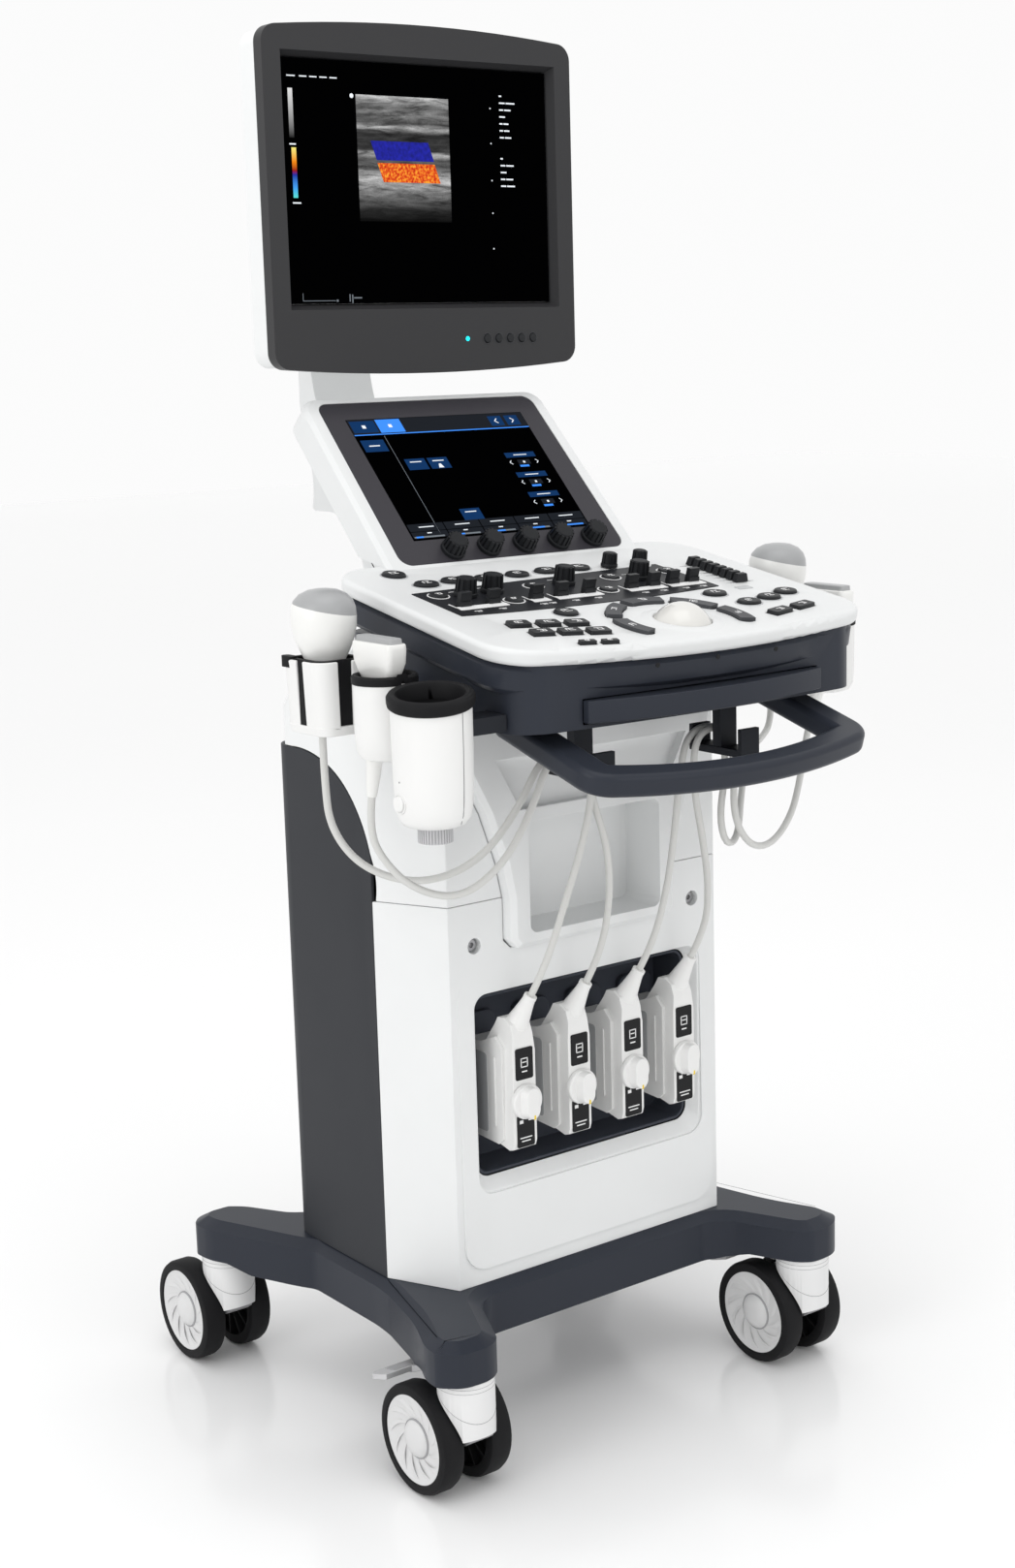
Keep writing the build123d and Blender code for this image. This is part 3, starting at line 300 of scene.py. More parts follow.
bmesh.ops.translate(foot, verts=foot.verts, vec=(0, 0, BASE_LOW))
from_mesh_kit(foot, "base_casting", "machine", [blue_black], FLOOR, edge=2.5, steps=3, limit=25,
              node="base_frame")
# painted shade: thin near-black strips along the upper edge of each front leg stand in for the shade in the
# crease there
crease_shade_strips = bmesh.new()
for s in (-1, 1):
    edge = [(s * 195.6, -67.7), (s * 231.9, -199.1)]
    line = zip(edge + edge[::-1], (0, 0, 0.7, 0.7))
    crease_shade_strips.faces.new([crease_shade_strips.verts.new((x + dx, y, BASE_HIGH + 0.1)) for (x, y), dx in line])
bmesh.ops.solidify(crease_shade_strips, geom=crease_shade_strips.faces[:], thickness=0.2)
crease_shade_black = moulding("crease_shade_black", (0.008, 0.009, 0.011), rough=0.6)
from_mesh_kit(crease_shade_strips, "base_crease_shade", "machine", [crease_shade_black], FLOOR)

# Column covers: white moulded front cover and upper shell with slanted front corners, and one
# blue-black wrap round the sides and the rear. They clip together and leave thin dark seams.
cover_white = moulding("cover_white", (0.80, 0.81, 0.81), rough=0.46, grain=0.16, grain_size=2200)
side_dark = moulding("side_charcoal", (0.034, 0.036, 0.041), rough=0.48, grain=0.14, grain_size=2000)
FACE_Y = -133.6


def plane_at(origin, across, up):
    """the matrix of a flat working plane: across and up lie in it, in millimetres"""
    across, up = Vector(across), Vector(up)
    turn = Matrix((across, up, across.cross(up))).transposed().to_4x4()
    return Matrix.Translation(origin) @ turn @ Matrix.Scale(0.001, 4)


FRONT = plane_at((0, MID_Y / 1000, 0), (1, 0, 0), (0, 0, 1))


def widen_pocket(bm):
    """the pocket's rim slopes in from the face, widest along the bottom"""
    for v in bm.verts:
        x, y, z = v.co.x * 1000, v.co.y * 1000 - MID_Y, v.co.z * 1000
        if abs(x) < 130 and 250 < z < 432 and y < FACE_Y + 5:
            if y < FACE_Y + 1:
                v.co.x += (0.008 if x > 0 else -0.005)
                v.co.z += (-0.011 if z < 341 else 0.004)
            else:
                v.co.y = (FACE_Y + 11 + MID_Y) / 1000


softened("front_cover", 1.6, "machine", "white_plastic", cover_white, change=widen_pocket)
softened("side_rear_cover", 2.0, "machine", "dark_plastic", side_dark)
softened("upper_shell", 2.0, "machine", "white_plastic", cover_white)
softened("niche_insert", 2.5, "machine", "white_plastic", cover_white)

# Raised apron of the front cover: the part of the same moulding below the pocket stands a little
# proud, with round lower corners, and runs out flush towards the top.


def rounded_plate(bm, wide, high, corner, centre=(0, 0), steps=6, corners=(1, 1, 1, 1)):
    """a flat plate with rounded corners, in the working plane; returns its face"""
    x, y = centre
    spots = [(x - wide / 2, y - high / 2), (x + wide / 2, y - high / 2),
             (x + wide / 2, y + high / 2), (x - wide / 2, y + high / 2)]
    verts = [bm.verts.new((*s, 0)) for s in spots]
    face = bm.faces.new(verts)
    if corner:
        made = bmesh.ops.bevel(bm, geom=[v for v, c in zip(verts, corners) if c], offset=corner,
                               segments=steps, profile=0.5, affect="VERTICES", material=-1)
        face = max((f for v in made["verts"] for f in v.link_faces), key=lambda f: f.calc_area())
    return face


def raise_face(bm, face, height, low=0.0):
    """a plate made into a slab from low to low + height; returns its upper vertices"""
    bmesh.ops.translate(bm, verts=list(face.verts), vec=(0, 0, low))
    grown = bmesh.ops.extrude_face_region(bm, geom=[face])["geom"]
    upper = verts_in(grown)
    bmesh.ops.translate(bm, verts=upper, vec=(0, 0, height))
    return upper


apron = bmesh.new()
outer = rounded_plate(apron, 304, 282, 24, (0, 311), steps=8)
inner = rounded_plate(apron, 274, 194, 18, (1.5, 338), steps=8)
rims = [list(outer.edges), list(inner.edges)]
apron.faces.remove(outer)
apron.faces.remove(inner)
bmesh.ops.bridge_loops(apron, edges=rims[0] + rims[1])
grown = bmesh.ops.extrude_face_region(apron, geom=apron.faces[:])["geom"]
lifted = verts_in(grown)
for v in lifted:
    v.co.z = 2.4 * max(0.02, min(1, (452 - v.co.y) / 110))
bmesh.ops.translate(apron, verts=apron.verts, vec=(0, 0, -FACE_Y - 0.1))
from_mesh_kit(apron, "front_apron", "machine", [cover_white], FRONT, edge=1.2, steps=3)

# Cover screws: two hexagon socket screws at the bottom of their recesses, zinc plated.
screw_zinc = moulding("screw_zinc", (0.35, 0.35, 0.36), rough=0.35, metal=0.9)
softened("cover_screws", 0.4, "machine", "steel", screw_zinc, steps=1)
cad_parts["electronics_box"].data.materials.clear()
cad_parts["electronics_box"].data.materials.append(
    moulding("folded_sheet", (0.5, 0.51, 0.52), rough=0.4, metal=0.8))

# Connector pocket: a deep blue-black tray behind the front cover, with a low socket frame
# round each of the four probe connectors.
tray_dark = moulding("tray_dark", (0.046, 0.051, 0.065), rough=0.42, grain=0.12)


def set_back(bm):
    """the tray's rim ends behind the widened edge of the pocket"""
    for v in bm.verts:
        if v.co.y * 1000 - MID_Y < FACE_Y + 2:
            v.co.y += 0.011


softened("pocket_tray", 1.0, "machine", "dark_plastic", tray_dark, change=set_back)
sockets = bmesh.new()
for x in CONNECTOR_X:
    raise_face(sockets, rounded_plate(sockets, 42, 124, 9, (x, 338)), 6, 81)
from_mesh_kit(sockets, "socket_frames", "machine", [tray_dark], FRONT, edge=1.5)

# Probe connectors: white two-shell plugs, deep at the back and with a narrow spine in front.
# Each has a grey side plate, a black label strip and a tapered relief where its cable enters.
plug_white = moulding("plug_white", (0.82, 0.82, 0.81), rough=0.36, grain=0.06)
plug_grey = moulding("plug_grey", (0.45, 0.46, 0.47), rough=0.5)
label_black = moulding("label_black", (0.012, 0.012, 0.013), rough=0.35, grain=0.03)
mark_white = moulding("mark_white", (0.85, 0.85, 0.85), rough=0.5, grain=0.02)
SIDE = plane_at((0, MID_Y / 1000, 0), (0, 1, 0), (0, 0, 1))


def filled(bm, spots):
    """a flat plate of the given outline, in the working plane"""
    return bm.faces.new([bm.verts.new((*s, 0)) for s in spots])


def bar(bm, x, y, wide, high, low, tall, finish=0, turn=0.0):
    """one flat block on the working plane"""
    made = bmesh.ops.create_cube(bm, size=1)["verts"]
    bmesh.ops.scale(bm, vec=(wide, high, tall), verts=made)
    bmesh.ops.rotate(bm, matrix=Matrix.Rotation(turn, 3, "Z"), verts=made)
    bmesh.ops.translate(bm, vec=(x, y, low + tall / 2), verts=made)
    paint(made, finish)
    return made


def turned(bm, profile, axis=Matrix.Identity(4), steps=48, finish=0):
    """a turned form: profile is (radius, height) pairs about the working plane's normal"""
    chain = [bm.verts.new((r, 0, h)) for r, h in profile]
    edges = [bm.edges.new(pair) for pair in zip(chain, chain[1:])]
    before = set(bm.faces)
    bmesh.ops.spin(bm, geom=chain + edges, cent=(0, 0, 0), axis=(0, 0, 1), angle=2 * pi,
                   steps=steps, use_merge=True, use_duplicate=False)
    fresh = [f for f in bm.faces if f not in before]
    for face in fresh:
        face.material_index = finish
    verts = list({v for f in fresh for v in f.verts})
    bmesh.ops.remove_doubles(bm, verts=verts, dist=1e-5)
    verts = list({v for f in bm.faces if f not in before for v in f.verts})
    bmesh.ops.transform(bm, matrix=axis, verts=verts)
    return verts


def along(origin, direction):
    """the placement of a turned form whose axis starts at origin and runs along direction"""
    return Matrix.Translation(origin) @ Vector(direction).to_track_quat("Z", "Y").to_matrix().to_4x4()


SPINE_FRONT = 157.9
RELIEF = [(0, -9), (11.4, -9), (11.6, 0.0), (11.0, 0.6), (10.6, 3), (8.6, 12), (6.6, 22), (5.6, 29),
          (5.5, 30.3), (0, 30.3)]
COLLAR = [(3.4, 27), (6.2, 27), (6.2, 30.9), (3.4, 30.9), (3.4, 27)]
STROKES = ((8, 0.9, 0, 372), (0.9, 8.5, -3.6, 368), (0.9, 8.5, 3.6, 368), (8, 0.9, 0, 364),
           (5, 0.9, 0, 368.4),
           (6, 1.2, 0, 359.6), (4.0, 3.2, -5, 312), (4.0, 3.2, 5, 313.5), (1.6, 1.0, 5, 316.4),
           (1.6, 1.0, -3.2, 315), (13.5, 1.0, 0, 296.4), (10, 1.0, 0, 293.2))
plugs = bmesh.new()
plug_marks = bmesh.new()
side_plates = bmesh.new()
for x in CONNECTOR_X:
    raise_face(plugs, filled(plugs, [
        (-86, 289), (-136, 287), (-144, 293), (-144, 380), (-134, 390), (-112, 381), (-86, 378)]), 30, x - 15)
    raise_face(plugs, filled(plugs, [
        (-120, 290), (-150, 284), (-156, 286), (-158, 292), (-158, 378), (-157, 394), (-153, 404),
        (-143, 409),
        (-134, 408), (-129, 400), (-118, 384)]), 26, x - 13)
    shoulder = [v for v in plugs.verts if v.co.y > 392 and abs(v.co.z - x) < 14]
    bmesh.ops.scale(plugs, vec=(1, 1, 0.86), space=Matrix.Translation((0, 0, -x - 1)), verts=shoulder)
    root = along((-146, 402, x + 2), (-11, 26, 8))
    turned(plugs, RELIEF, root)
    turned(plugs, COLLAR, root)
    for high, middle in ((30, 367), (31, 303)):
        raise_face(plug_marks, rounded_plate(plug_marks, 20, high, 2, (x, middle)), 0.5, SPINE_FRONT)
    for wide, high, dx, z in STROKES:
        bar(plug_marks, x + dx, z, wide, high, SPINE_FRONT + 0.3, 0.5, 1)
    raise_face(side_plates, rounded_plate(side_plates, 19, 76, 4, (-112, 333)), 0.6, x - 15.5)
    bar(side_plates, -133, 337, 1.8, 66, x - 16.1, 1.4, 1)
from_mesh_kit(plugs, "connector_shells", "machine", [plug_white], SIDE, edge=3.2, steps=4,
              node="probe_connectors")
from_mesh_kit(plug_marks, "connector_labels", "machine", [label_black, mark_white], FRONT)
from_mesh_kit(side_plates, "connector_side_plates", "machine", [plug_grey, plug_white], SIDE,
              edge=0.4)

# Lock knobs: a white round base with a finger bar across it, turned to lock the connector.
# A yellow mark at one end of the bar shows which way it points.
mark_yellow = moulding("mark_yellow", (0.85, 0.62, 0.03), rough=0.4, grain=0.02)
LOCK_Z = 331.5
for number, x in enumerate(CONNECTOR_X, 1):
    knob = bmesh.new()
    turned(knob, [(0, 158.5), (16.4, 158.5), (16.4, 162.6), (15.4, 163.8), (0, 164.0)],
           Matrix.Translation((x, LOCK_Z, 0)))
    grip = raise_face(knob, rounded_plate(knob, 20, 31, 9.6, (x, LOCK_Z), steps=8), 8.6, 163)
    bmesh.ops.scale(knob, vec=(0.72, 0.94, 1), space=Matrix.Translation((-x - 2, -LOCK_Z, 0)), verts=grip)
    bar(knob, x + 1, 318.6, 2.6, 4.6, 169.6, 2.2, 1)
    from_mesh_kit(knob, f"lock_knob_{number}_grip", f"lock_knob_{number}",
                  [plug_white, mark_yellow], FRONT, edge=1.4, steps=4, node=f"lock_knob_{number}")

# Casters: twin-wheel swivel casters. White swivel housing with a grey slanted underside, black
# polyurethane treads on white hub discs with swept blades, and ribbed wheel centres inside.
tread_black = moulding("tread_black", (0.009, 0.009, 0.010), rough=0.62, grain=0.25, grain_size=1500)
hub_white = moulding("hub_white", (0.70, 0.70, 0.70), rough=0.40, grain=0.06)
# painted shade: a thin grey ring round the rim of each hub's dome darkens it where shade falls
dome_edge_shade = moulding("dome_edge_shade", (0.36, 0.36, 0.37), rough=0.5, grain=0.03)
caster_white = moulding("caster_white", (0.78, 0.78, 0.78), rough=0.42, grain=0.08)
caster_grey = moulding("caster_grey", (0.30, 0.30, 0.31), rough=0.5, grain=0.12)
STEMS = {"fl": (-207.1, -206.0), "fr": (207.1, -206.0), "rl": (-229.5, 174.8), "rr": (229.5, 174.8)}
TRAIL, WHEEL_R, BLADES = 33.3, 51.0, 12
TREAD = [(40.5, 15), (46, 14.2), (49.6, 15.6), (51, 19), (51, 33.5), (49.6, 36.8), (46.5, 38), (42.2, 37.8),
         (41.0, 36.2), (40.5, 30), (40.5, 15)]
DISC = [(0, 38.3), (7, 37.9), (12, 36.9), (15.6, 35.1), (17.6, 32.6), (18.6, 31.9), (28, 32.6), (37, 34.9),
        (39.4, 36.3), (41.0, 36.4), (41.0, 30), (0, 30)]
CENTRE = [(5.06, 20), (9, 20), (9, 15.2), (11, 15.2), (11, 22), (40.6, 22), (40.6, 24), (5.06, 24),
          (5.06, 20)]
# the ring of painted shade round the rim of the hub's dome
DOME_EDGE_SHADE_RING = [(17.2, 32), (18.4, 32), (18.4, 33.0), (17.2, 33.6), (17.2, 32)]
SEAM_RING = [(25, 0), (26.15, 0.1), (26.15, 0.6), (25, 0.7), (25, 0)]


def grey_below(bm):
    """the underside and the axle end of the housing are grey"""
    for face in bm.faces:
        if face.normal.z < -0.2 or face.calc_center_median().z < 0.060:
            face.material_index = 1


for corner, (sx, sy) in STEMS.items():
    fork = cad_copy(f"caster_swivel_{corner}")
    grey_below(fork)
    for lift, tilt, wide in ((107.5, 0, 1), (111.5, 0, 1), (95.5, 34, 1.2)):
        loop = Matrix.Translation((sx / 1000, (sy + MID_Y) / 1000,
                                   lift / 1000)) @ Matrix.Rotation(radians(tilt), 4, "X")
        turned(fork, [(r / 1000, h / 1000) for r, h in SEAM_RING], loop @ Matrix.Diagonal((1, wide, 1, 1)),
               finish=1)
    tongue = filled(fork, [(sy + dy, z) for dy, z in (
        (-21.5, 66), (-21, 61), (-14, 56), (-2, 52.5), (12, 50), (14, 56), (14, 70), (-14, 70))])
    tongue.material_index = 1
    lower = list(tongue.verts)
    bmesh.ops.transform(fork, matrix=SIDE, verts=lower + raise_face(fork, tongue, 26, sx - 13))
    from_mesh_kit(fork, f"caster_fork_{corner}", f"caster_swivel_{corner}",
                  [caster_white, caster_grey], edge=0.8, steps=2, node=f"caster_swivel_{corner}")
    wheels = bmesh.new()
    hub_plane = Matrix.Translation((sy + TRAIL, WHEEL_R, 0))
    for out in (-1, 1):
        turn_over = Matrix.Identity(4) if out > 0 else Matrix.Rotation(pi, 4, "X")
        flip = hub_plane @ Matrix.Translation((0, 0, sx)) @ turn_over
        turned(wheels, TREAD, flip, steps=64)
        turned(wheels, DISC, flip, steps=64, finish=1)
        turned(wheels, CENTRE, flip, steps=40)
        # painted shade at the rim of the dome
        turned(wheels, DOME_EDGE_SHADE_RING, flip, steps=64, finish=2)
        for blade in range(BLADES):
            angle = blade * 2 * pi / BLADES
            vane = bmesh.ops.create_grid(wheels, x_segments=5, y_segments=1, size=1)["verts"]
            bmesh.ops.scale(wheels, vec=(10.3, 1.5, 1), verts=vane)
            for v in vane:
                reach = (v.co.x + 10.3) / 20.6
                hollow = (0.9 if v.co.y > 0 else -0.5) * sin(pi * reach)
                v.co = Matrix.Rotation(0.62 * reach + angle, 3, "Z") @ Vector(
                    (18.6 + reach * 20.0, v.co.y * (0.5 + 2.2 * reach), 31.7 + 3.3 * reach + hollow))
            paint(vane, 1)
            sheet = list({f for v in vane for f in v.link_faces})
            raised = verts_in(bmesh.ops.extrude_face_region(wheels, geom=sheet)["geom"])
            bmesh.ops.translate(wheels, verts=raised, vec=(0, 0, 0.35))
            bmesh.ops.transform(wheels, verts=list(set(vane + raised)), matrix=flip)
            rib = bar(wheels, 26, 0, 28, 2.0, 16.0, 6.2)
            bmesh.ops.transform(wheels, verts=rib, matrix=flip @ Matrix.Rotation(angle, 4, "Z"))
    from_mesh_kit(wheels, f"caster_wheel_pair_{corner}", f"caster_wheels_{corner}",
                  [tread_black, hub_white, dome_edge_shade], SIDE, smooth=30,
                  node=f"caster_wheels_{corner}")

# Brake pedals: grey moulded foot levers on the two front casters, hinged in the swivel housing,
# with raised ridges across the toe plate for grip.
pedal_grey = moulding("pedal_grey", (0.56, 0.56, 0.57), rough=0.5, grain=0.15)
for corner in ("fl", "fr"):
    sx, sy = STEMS[corner]
    pedal = bmesh.new()
    lever = filled(pedal, [(sy + dy, z) for dy, z in (
        (31, 99.5), (31, 104.5), (60, 104.5), (78, 97), (78, 91), (72, 93), (58, 99.5))])
    raise_face(pedal, lever, 18, sx - 9)
    toe = bmesh.new()
    raise_face(toe, rounded_plate(toe, 74, 34, 15, (sx, sy + 89), steps=7, corners=(0, 0, 1, 1)), 5.2, 0)
    for step in range(5):
        bar(toe, sx, sy + 78 + step * 5.4, 50 - 2.5 * step, 1.8, 5.0, 1.3)
    for v in toe.verts:
        v.co.z += 94.6 - (v.co.y - sy - 72) * 0.353
    from_mesh_kit(toe, f"brake_toe_{corner}", f"brake_pedal_{corner}", [pedal_grey], FLOOR,
                  edge=0.7)
    from_mesh_kit(pedal, f"brake_lever_{corner}", f"brake_pedal_{corner}", [pedal_grey], SIDE,
                  edge=1.0, node=f"brake_pedal_{corner}")

# Console body: a two-stage blue-black moulding, with the drawer's mouth in front, and a white
# lid with a rounded rim that holds every control. The drawer front bulges a little.
SLOPE = radians(10.26)
DESK = plane_at((0, MID_Y / 1000, 0.8211), (1, 0, 0), (0, cos(SLOPE), sin(SLOPE)))
lid_white = moulding("lid_white", (0.74, 0.75, 0.75), rough=0.44, grain=0.16, grain_size=2400)
softened("console_top", 1.6, "machine", "white_plastic", lid_white, limit=40)
softened("console_base", 4.0, "machine", "dark_plastic", blue_black)
softened("drawer", 2.5, "drawer", "dark_plastic", blue_black)
softened("handle", 6.0, "machine", "dark_plastic", blue_black, steps=5)
# painted shade: flat black discs stand in for the three vent holes, their black being the shade inside the
# holes
hole_shade_discs = bmesh.new()
for x in (-67.4, 0, 67.4):
    turned(hole_shade_discs, [(0, 0), (2.2, 0), (2.2, 0.6), (0, 0.6)], Matrix.Translation((x, 0, 0)), steps=20)
from_mesh_kit(hole_shade_discs, "vent_hole_shade", "machine", [label_black],
              plane_at(pt(0, -318.6, 745), (1, 0, 0), (0, -0.178, 0.984)))

# Control strip: a thin black printed panel under the rotary knobs and paddle switches, with
# white-outlined frames and white rings round the keys.
strip_black = moulding("strip_black", (0.014, 0.015, 0.018), rough=0.42, grain=0.10)
key_black = moulding("key_black", (0.017, 0.018, 0.020), rough=0.46, grain=0.12, coat=0.1)
key_grey = moulding("key_grey", (0.060, 0.062, 0.067), rough=0.46, grain=0.10)
ring_grey = moulding("ring_grey", (0.52, 0.53, 0.54), rough=0.45, grain=0.05)
softened("control_strip", 0.3, "machine", "black_plastic", strip_black, steps=1)
BALL = (3, -275)
KNOBS = [(-135, -145), (-104, -142), (-22, -140), (60, -147)]
SMALL_KNOBS = [(62, -102), (98, -103)]
PADDLES = [-156, -125, -78, -50, -19, 31, 57, 80, 104]
ROUNDS = [(-158, -137), (-102, -172), (-54, -137), (37, -135), (5, -171), (106, -134)]
OVALS = [(-145, -100), (-114, -97), (-80, -100), (-43, -98), (-8, -96), (29, -97)]
RIGHT_OVALS = [(93, -216), (104, -250), (135, -243), (165, -233)]
SQUARES = [(-147, -238), (-121, -245), (-96, -252), (-144, -266), (-119, -272), (-94, -279)]
FLATS = [(-126, -304), (-106, -309)]
LONE_KEYS = [(-154, -62), (-83, -221)]
RIGHT_KEYS = [(109, -285), (144, -277)]


def ring(bm, x, y, inner, outer, low, tall, wide=1.0, finish=0):
    """a flat ring on the working plane, stretched across by wide"""
    turned(bm, [(inner, low), (outer, low), (outer, low + tall), (inner, low + tall), (inner, low)],
           Matrix.Translation((x, y, 0)) @ Matrix.Diagonal((wide, 1, 1, 1)), finish=finish, steps=40)


trim = bmesh.new()
for x, y in ROUNDS:
    ring(trim, x, y, 9.0, 10.2, 0.75, 0.35)
for x, y in OVALS + RIGHT_OVALS:
    ring(trim, x, y, 9.5, 10.8, 0.0, 0.5, 1.36, 1)
for x, y in LONE_KEYS:
    ring(trim, x, y, 11.5, 12.9, 0.0, 0.5, 1.0, 1)
for x, wide in ((-140.5, 52), (-78, 19), (-34.5, 51), (44, 44), (92, 42)):
    raise_face(trim, rounded_plate(trim, wide, 9.5, 1.2, (x, -178.8)), 0.5, 0.7)
    for dx in (-wide / 2 + 0.6, wide / 2 - 0.6):
        bar(trim, x + dx, -172, 1.2, 17, 0.78, 0.3)
    for dx in (-wide / 4, wide / 4):
        bar(trim, x + dx, -189.5, 7.5, 0.9, 0.78, 0.25)
        bar(trim, x + dx + 1, -191.4, 4.5, 0.9, 0.78, 0.25)
for x, y in KNOBS:
    bar(trim, x - 4, y + 15.5, 6, 0.9, 0.78, 0.25)
    bar(trim, x + 5, y + 15.5, 3, 0.9, 0.78, 0.25)
from_mesh_kit(trim, "panel_print", "machine", [mark_white, ring_grey], DESK)

# Push keys: dark moulded caps, round, oval, square, flat and arched, each with a small pale mark.
# The paddle switches stand up from their frames and lean a little towards the user.
ARCS = [86, 134, 40, -4, 184]
keys = bmesh.new()
random.seed(7)


def cap(bm, x, y, kind, wide, high, top=3.2, turn=0.0):
    """a key cap, round with a dished top or square with drawn-in sides"""
    if kind == "round":
        rise = [(0, -2.6), (1, -2.6), (1, top - 1.2), (0.93, top - 0.35), (0.8, top), (0.5, top - 0.25),
                (0, top - 0.45)]
        turned(bm, rise, Matrix.Translation((x, y, 0)) @ Matrix.Diagonal((wide / 2, high / 2, 1, 1)),
               steps=32)
        return
    plate = rounded_plate(bm, wide, high, min(wide, high) * 0.16, steps=3)
    lower = list(plate.verts)
    upper = raise_face(bm, plate, top + 2.6, -2.6)
    bmesh.ops.scale(bm, vec=(0.93, 0.9, 1), verts=upper)
    whole = lower + upper
    bmesh.ops.rotate(bm, matrix=Matrix.Rotation(turn, 3, "Z"), verts=whole)
    bmesh.ops.translate(bm, vec=(x, y, 0), verts=whole)


def key_mark(bm, x, y, turn=0.0, size=1.0, top=3.0):
    """a small pale sign: two or three strokes"""
    strokes = bar(bm, 0, 1.9 * size, 6.4 * size, 0.8, top, 0.35, 1)
    strokes += bar(bm, random.choice((-1.3, 0, 1.3)) * size, -1.9 * size, 4.6 * size, 0.8, top, 0.35, 1)
    strokes += bar(bm, random.choice((-3, 3)) * size, 0, 0.8, 4.4 * size, top, 0.35, 1)
    strokes += bar(bm, random.choice((-0.8, 0.8)) * size, 0, 0.8, 3.4 * size, top, 0.35, 1)
    bmesh.ops.rotate(bm, matrix=Matrix.Rotation(turn, 3, "Z"), verts=strokes)
    bmesh.ops.translate(bm, vec=(x, y, 0), verts=strokes)


for x, y in LONE_KEYS:
    cap(keys, x, y, "round", 21.5, 21.5)
    key_mark(keys, x, y, size=1.4)
for spots, kind, wide, high, turn, size, top in (
        (OVALS + RIGHT_OVALS, "round", 24.6, 17.6, 0, 1.2, 3.0), (ROUNDS, "round", 16.6, 16.6, 0, 0.9, 3.0),
        (SQUARES, "square", 21, 15, -12, 1.2, 3.15), (FLATS, "square", 16, 7, -12, 0.7, 3.15),
        (RIGHT_KEYS, "square", 28, 13, 14, 1.1, 3.15)):
    for x, y in spots:
        cap(keys, x, y, kind, wide, high, turn=radians(turn))
        key_mark(keys, x, y, radians(turn), size, top)
ARC_R, ARC_SWEEP = 60, 38
for middle in ARCS:
    ends = [keys.verts.new((ARC_R + dx, 0, -2.6)) for dx in (-7, 7)]
    before = set(keys.verts) - set(ends)
    bmesh.ops.spin(keys, geom=[*ends, keys.edges.new(ends)], cent=(0, 0, 0), axis=(0, 0, 1),
                   angle=radians(ARC_SWEEP), steps=12)
    strip = list({f for v in set(keys.verts) - before for f in v.link_faces})
    risen = verts_in(bmesh.ops.extrude_face_region(keys, geom=strip)["geom"])
    bmesh.ops.translate(keys, verts=risen, vec=(0, 0, 5.8))
    whole = list(set(keys.verts) - before)
    paint(whole, 2)
    bmesh.ops.rotate(keys, matrix=Matrix.Rotation(radians(middle - ARC_SWEEP / 2), 3, "Z"), verts=whole)
    bmesh.ops.translate(keys, vec=(*BALL, 0), verts=whole)
    x, y = BALL[0] + ARC_R * cos(radians(middle)), BALL[1] + ARC_R * sin(radians(middle))
    key_mark(keys, x, y, radians(middle - 90), 1.1, 3.1)
for x in PADDLES:
    bar(keys, x, -172, 12, 7, -2.6, 8.0)
    blade = bar(keys, x, -171.5, 11.6, 5.4, 5.0, 8.6)
    bmesh.ops.translate(keys, vec=(0, -1.0, 0), verts=[v for v in blade if v.co.z > 9])
from_mesh_kit(keys, "panel_key_caps", "panel_keys", [key_black, mark_white, key_grey], DESK,
              edge=0.6, steps=2, limit=40, node="panel_keys")

# Gain sliders: eight small black slide caps, one above the other, each over its own slot with
# a pale guide line; a white tile lies at the foot of the block.
SLIDERS = [(150, -122 - i * 9.4) for i in range(8)]
slider_caps = bmesh.new()
for x, y in SLIDERS:
    made = bar(slider_caps, x, y, 15, 7.2, 0.5, 8.0)
    bmesh.ops.scale(slider_caps, vec=(0.72, 0.8, 1), space=Matrix.Translation((-x, -y, 0)),
                    verts=[v for v in made if v.co.z > 4])
    bar(slider_caps, x, y, 3.9, 1.5, -5.0, 5.6)
from_mesh_kit(slider_caps, "gain_slider_caps", "tgc_sliders", [key_black], DESK, edge=0.9,
              steps=3, node="tgc_sliders")
guides = bmesh.new()
for x, y in SLIDERS:
    bar(guides, x, y, 34, 0.7, 0.02, 0.25)
raise_face(guides, rounded_plate(guides, 17, 9, 1.5, (138, -206)), 0.6)
from_mesh_kit(guides, "slider_guides", "machine", [ring_grey], DESK, edge=0.2)

# Trackball: a polished cream resin ball in a raised ring, with a shallow round groove where
# the arched keys sit.
ball_cream = moulding("ball_cream", (0.70, 0.69, 0.66), rough=0.16, grain=0.01, coat=0.6)
ball = bmesh.new()
bmesh.ops.create_uvsphere(ball, u_segments=64, v_segments=40, radius=28.0)
bmesh.ops.translate(ball, verts=ball.verts, vec=(*BALL, -12))
from_mesh_kit(ball, "trackball_resin", "trackball", [ball_cream], DESK, node="trackball")
collar = bmesh.new()
turned(collar, [(25.9, -0.5), (26.2, 1.4), (27.6, 2.0), (31, 1.3), (36, 0.3), (38.5, -0.3), (25.9, -0.5)],
       Matrix.Translation((*BALL, 0)), steps=72)
from_mesh_kit(collar, "trackball_collar", "machine", [lid_white], DESK)

# Panel knobs: dark fluted rotary caps with a wide skirt and a slightly dished top, pressed onto
# their shafts. The console has four large and two small ones, the touch panel five.
knob_black = moulding("knob_black", (0.013, 0.014, 0.016), rough=0.48, grain=0.14)


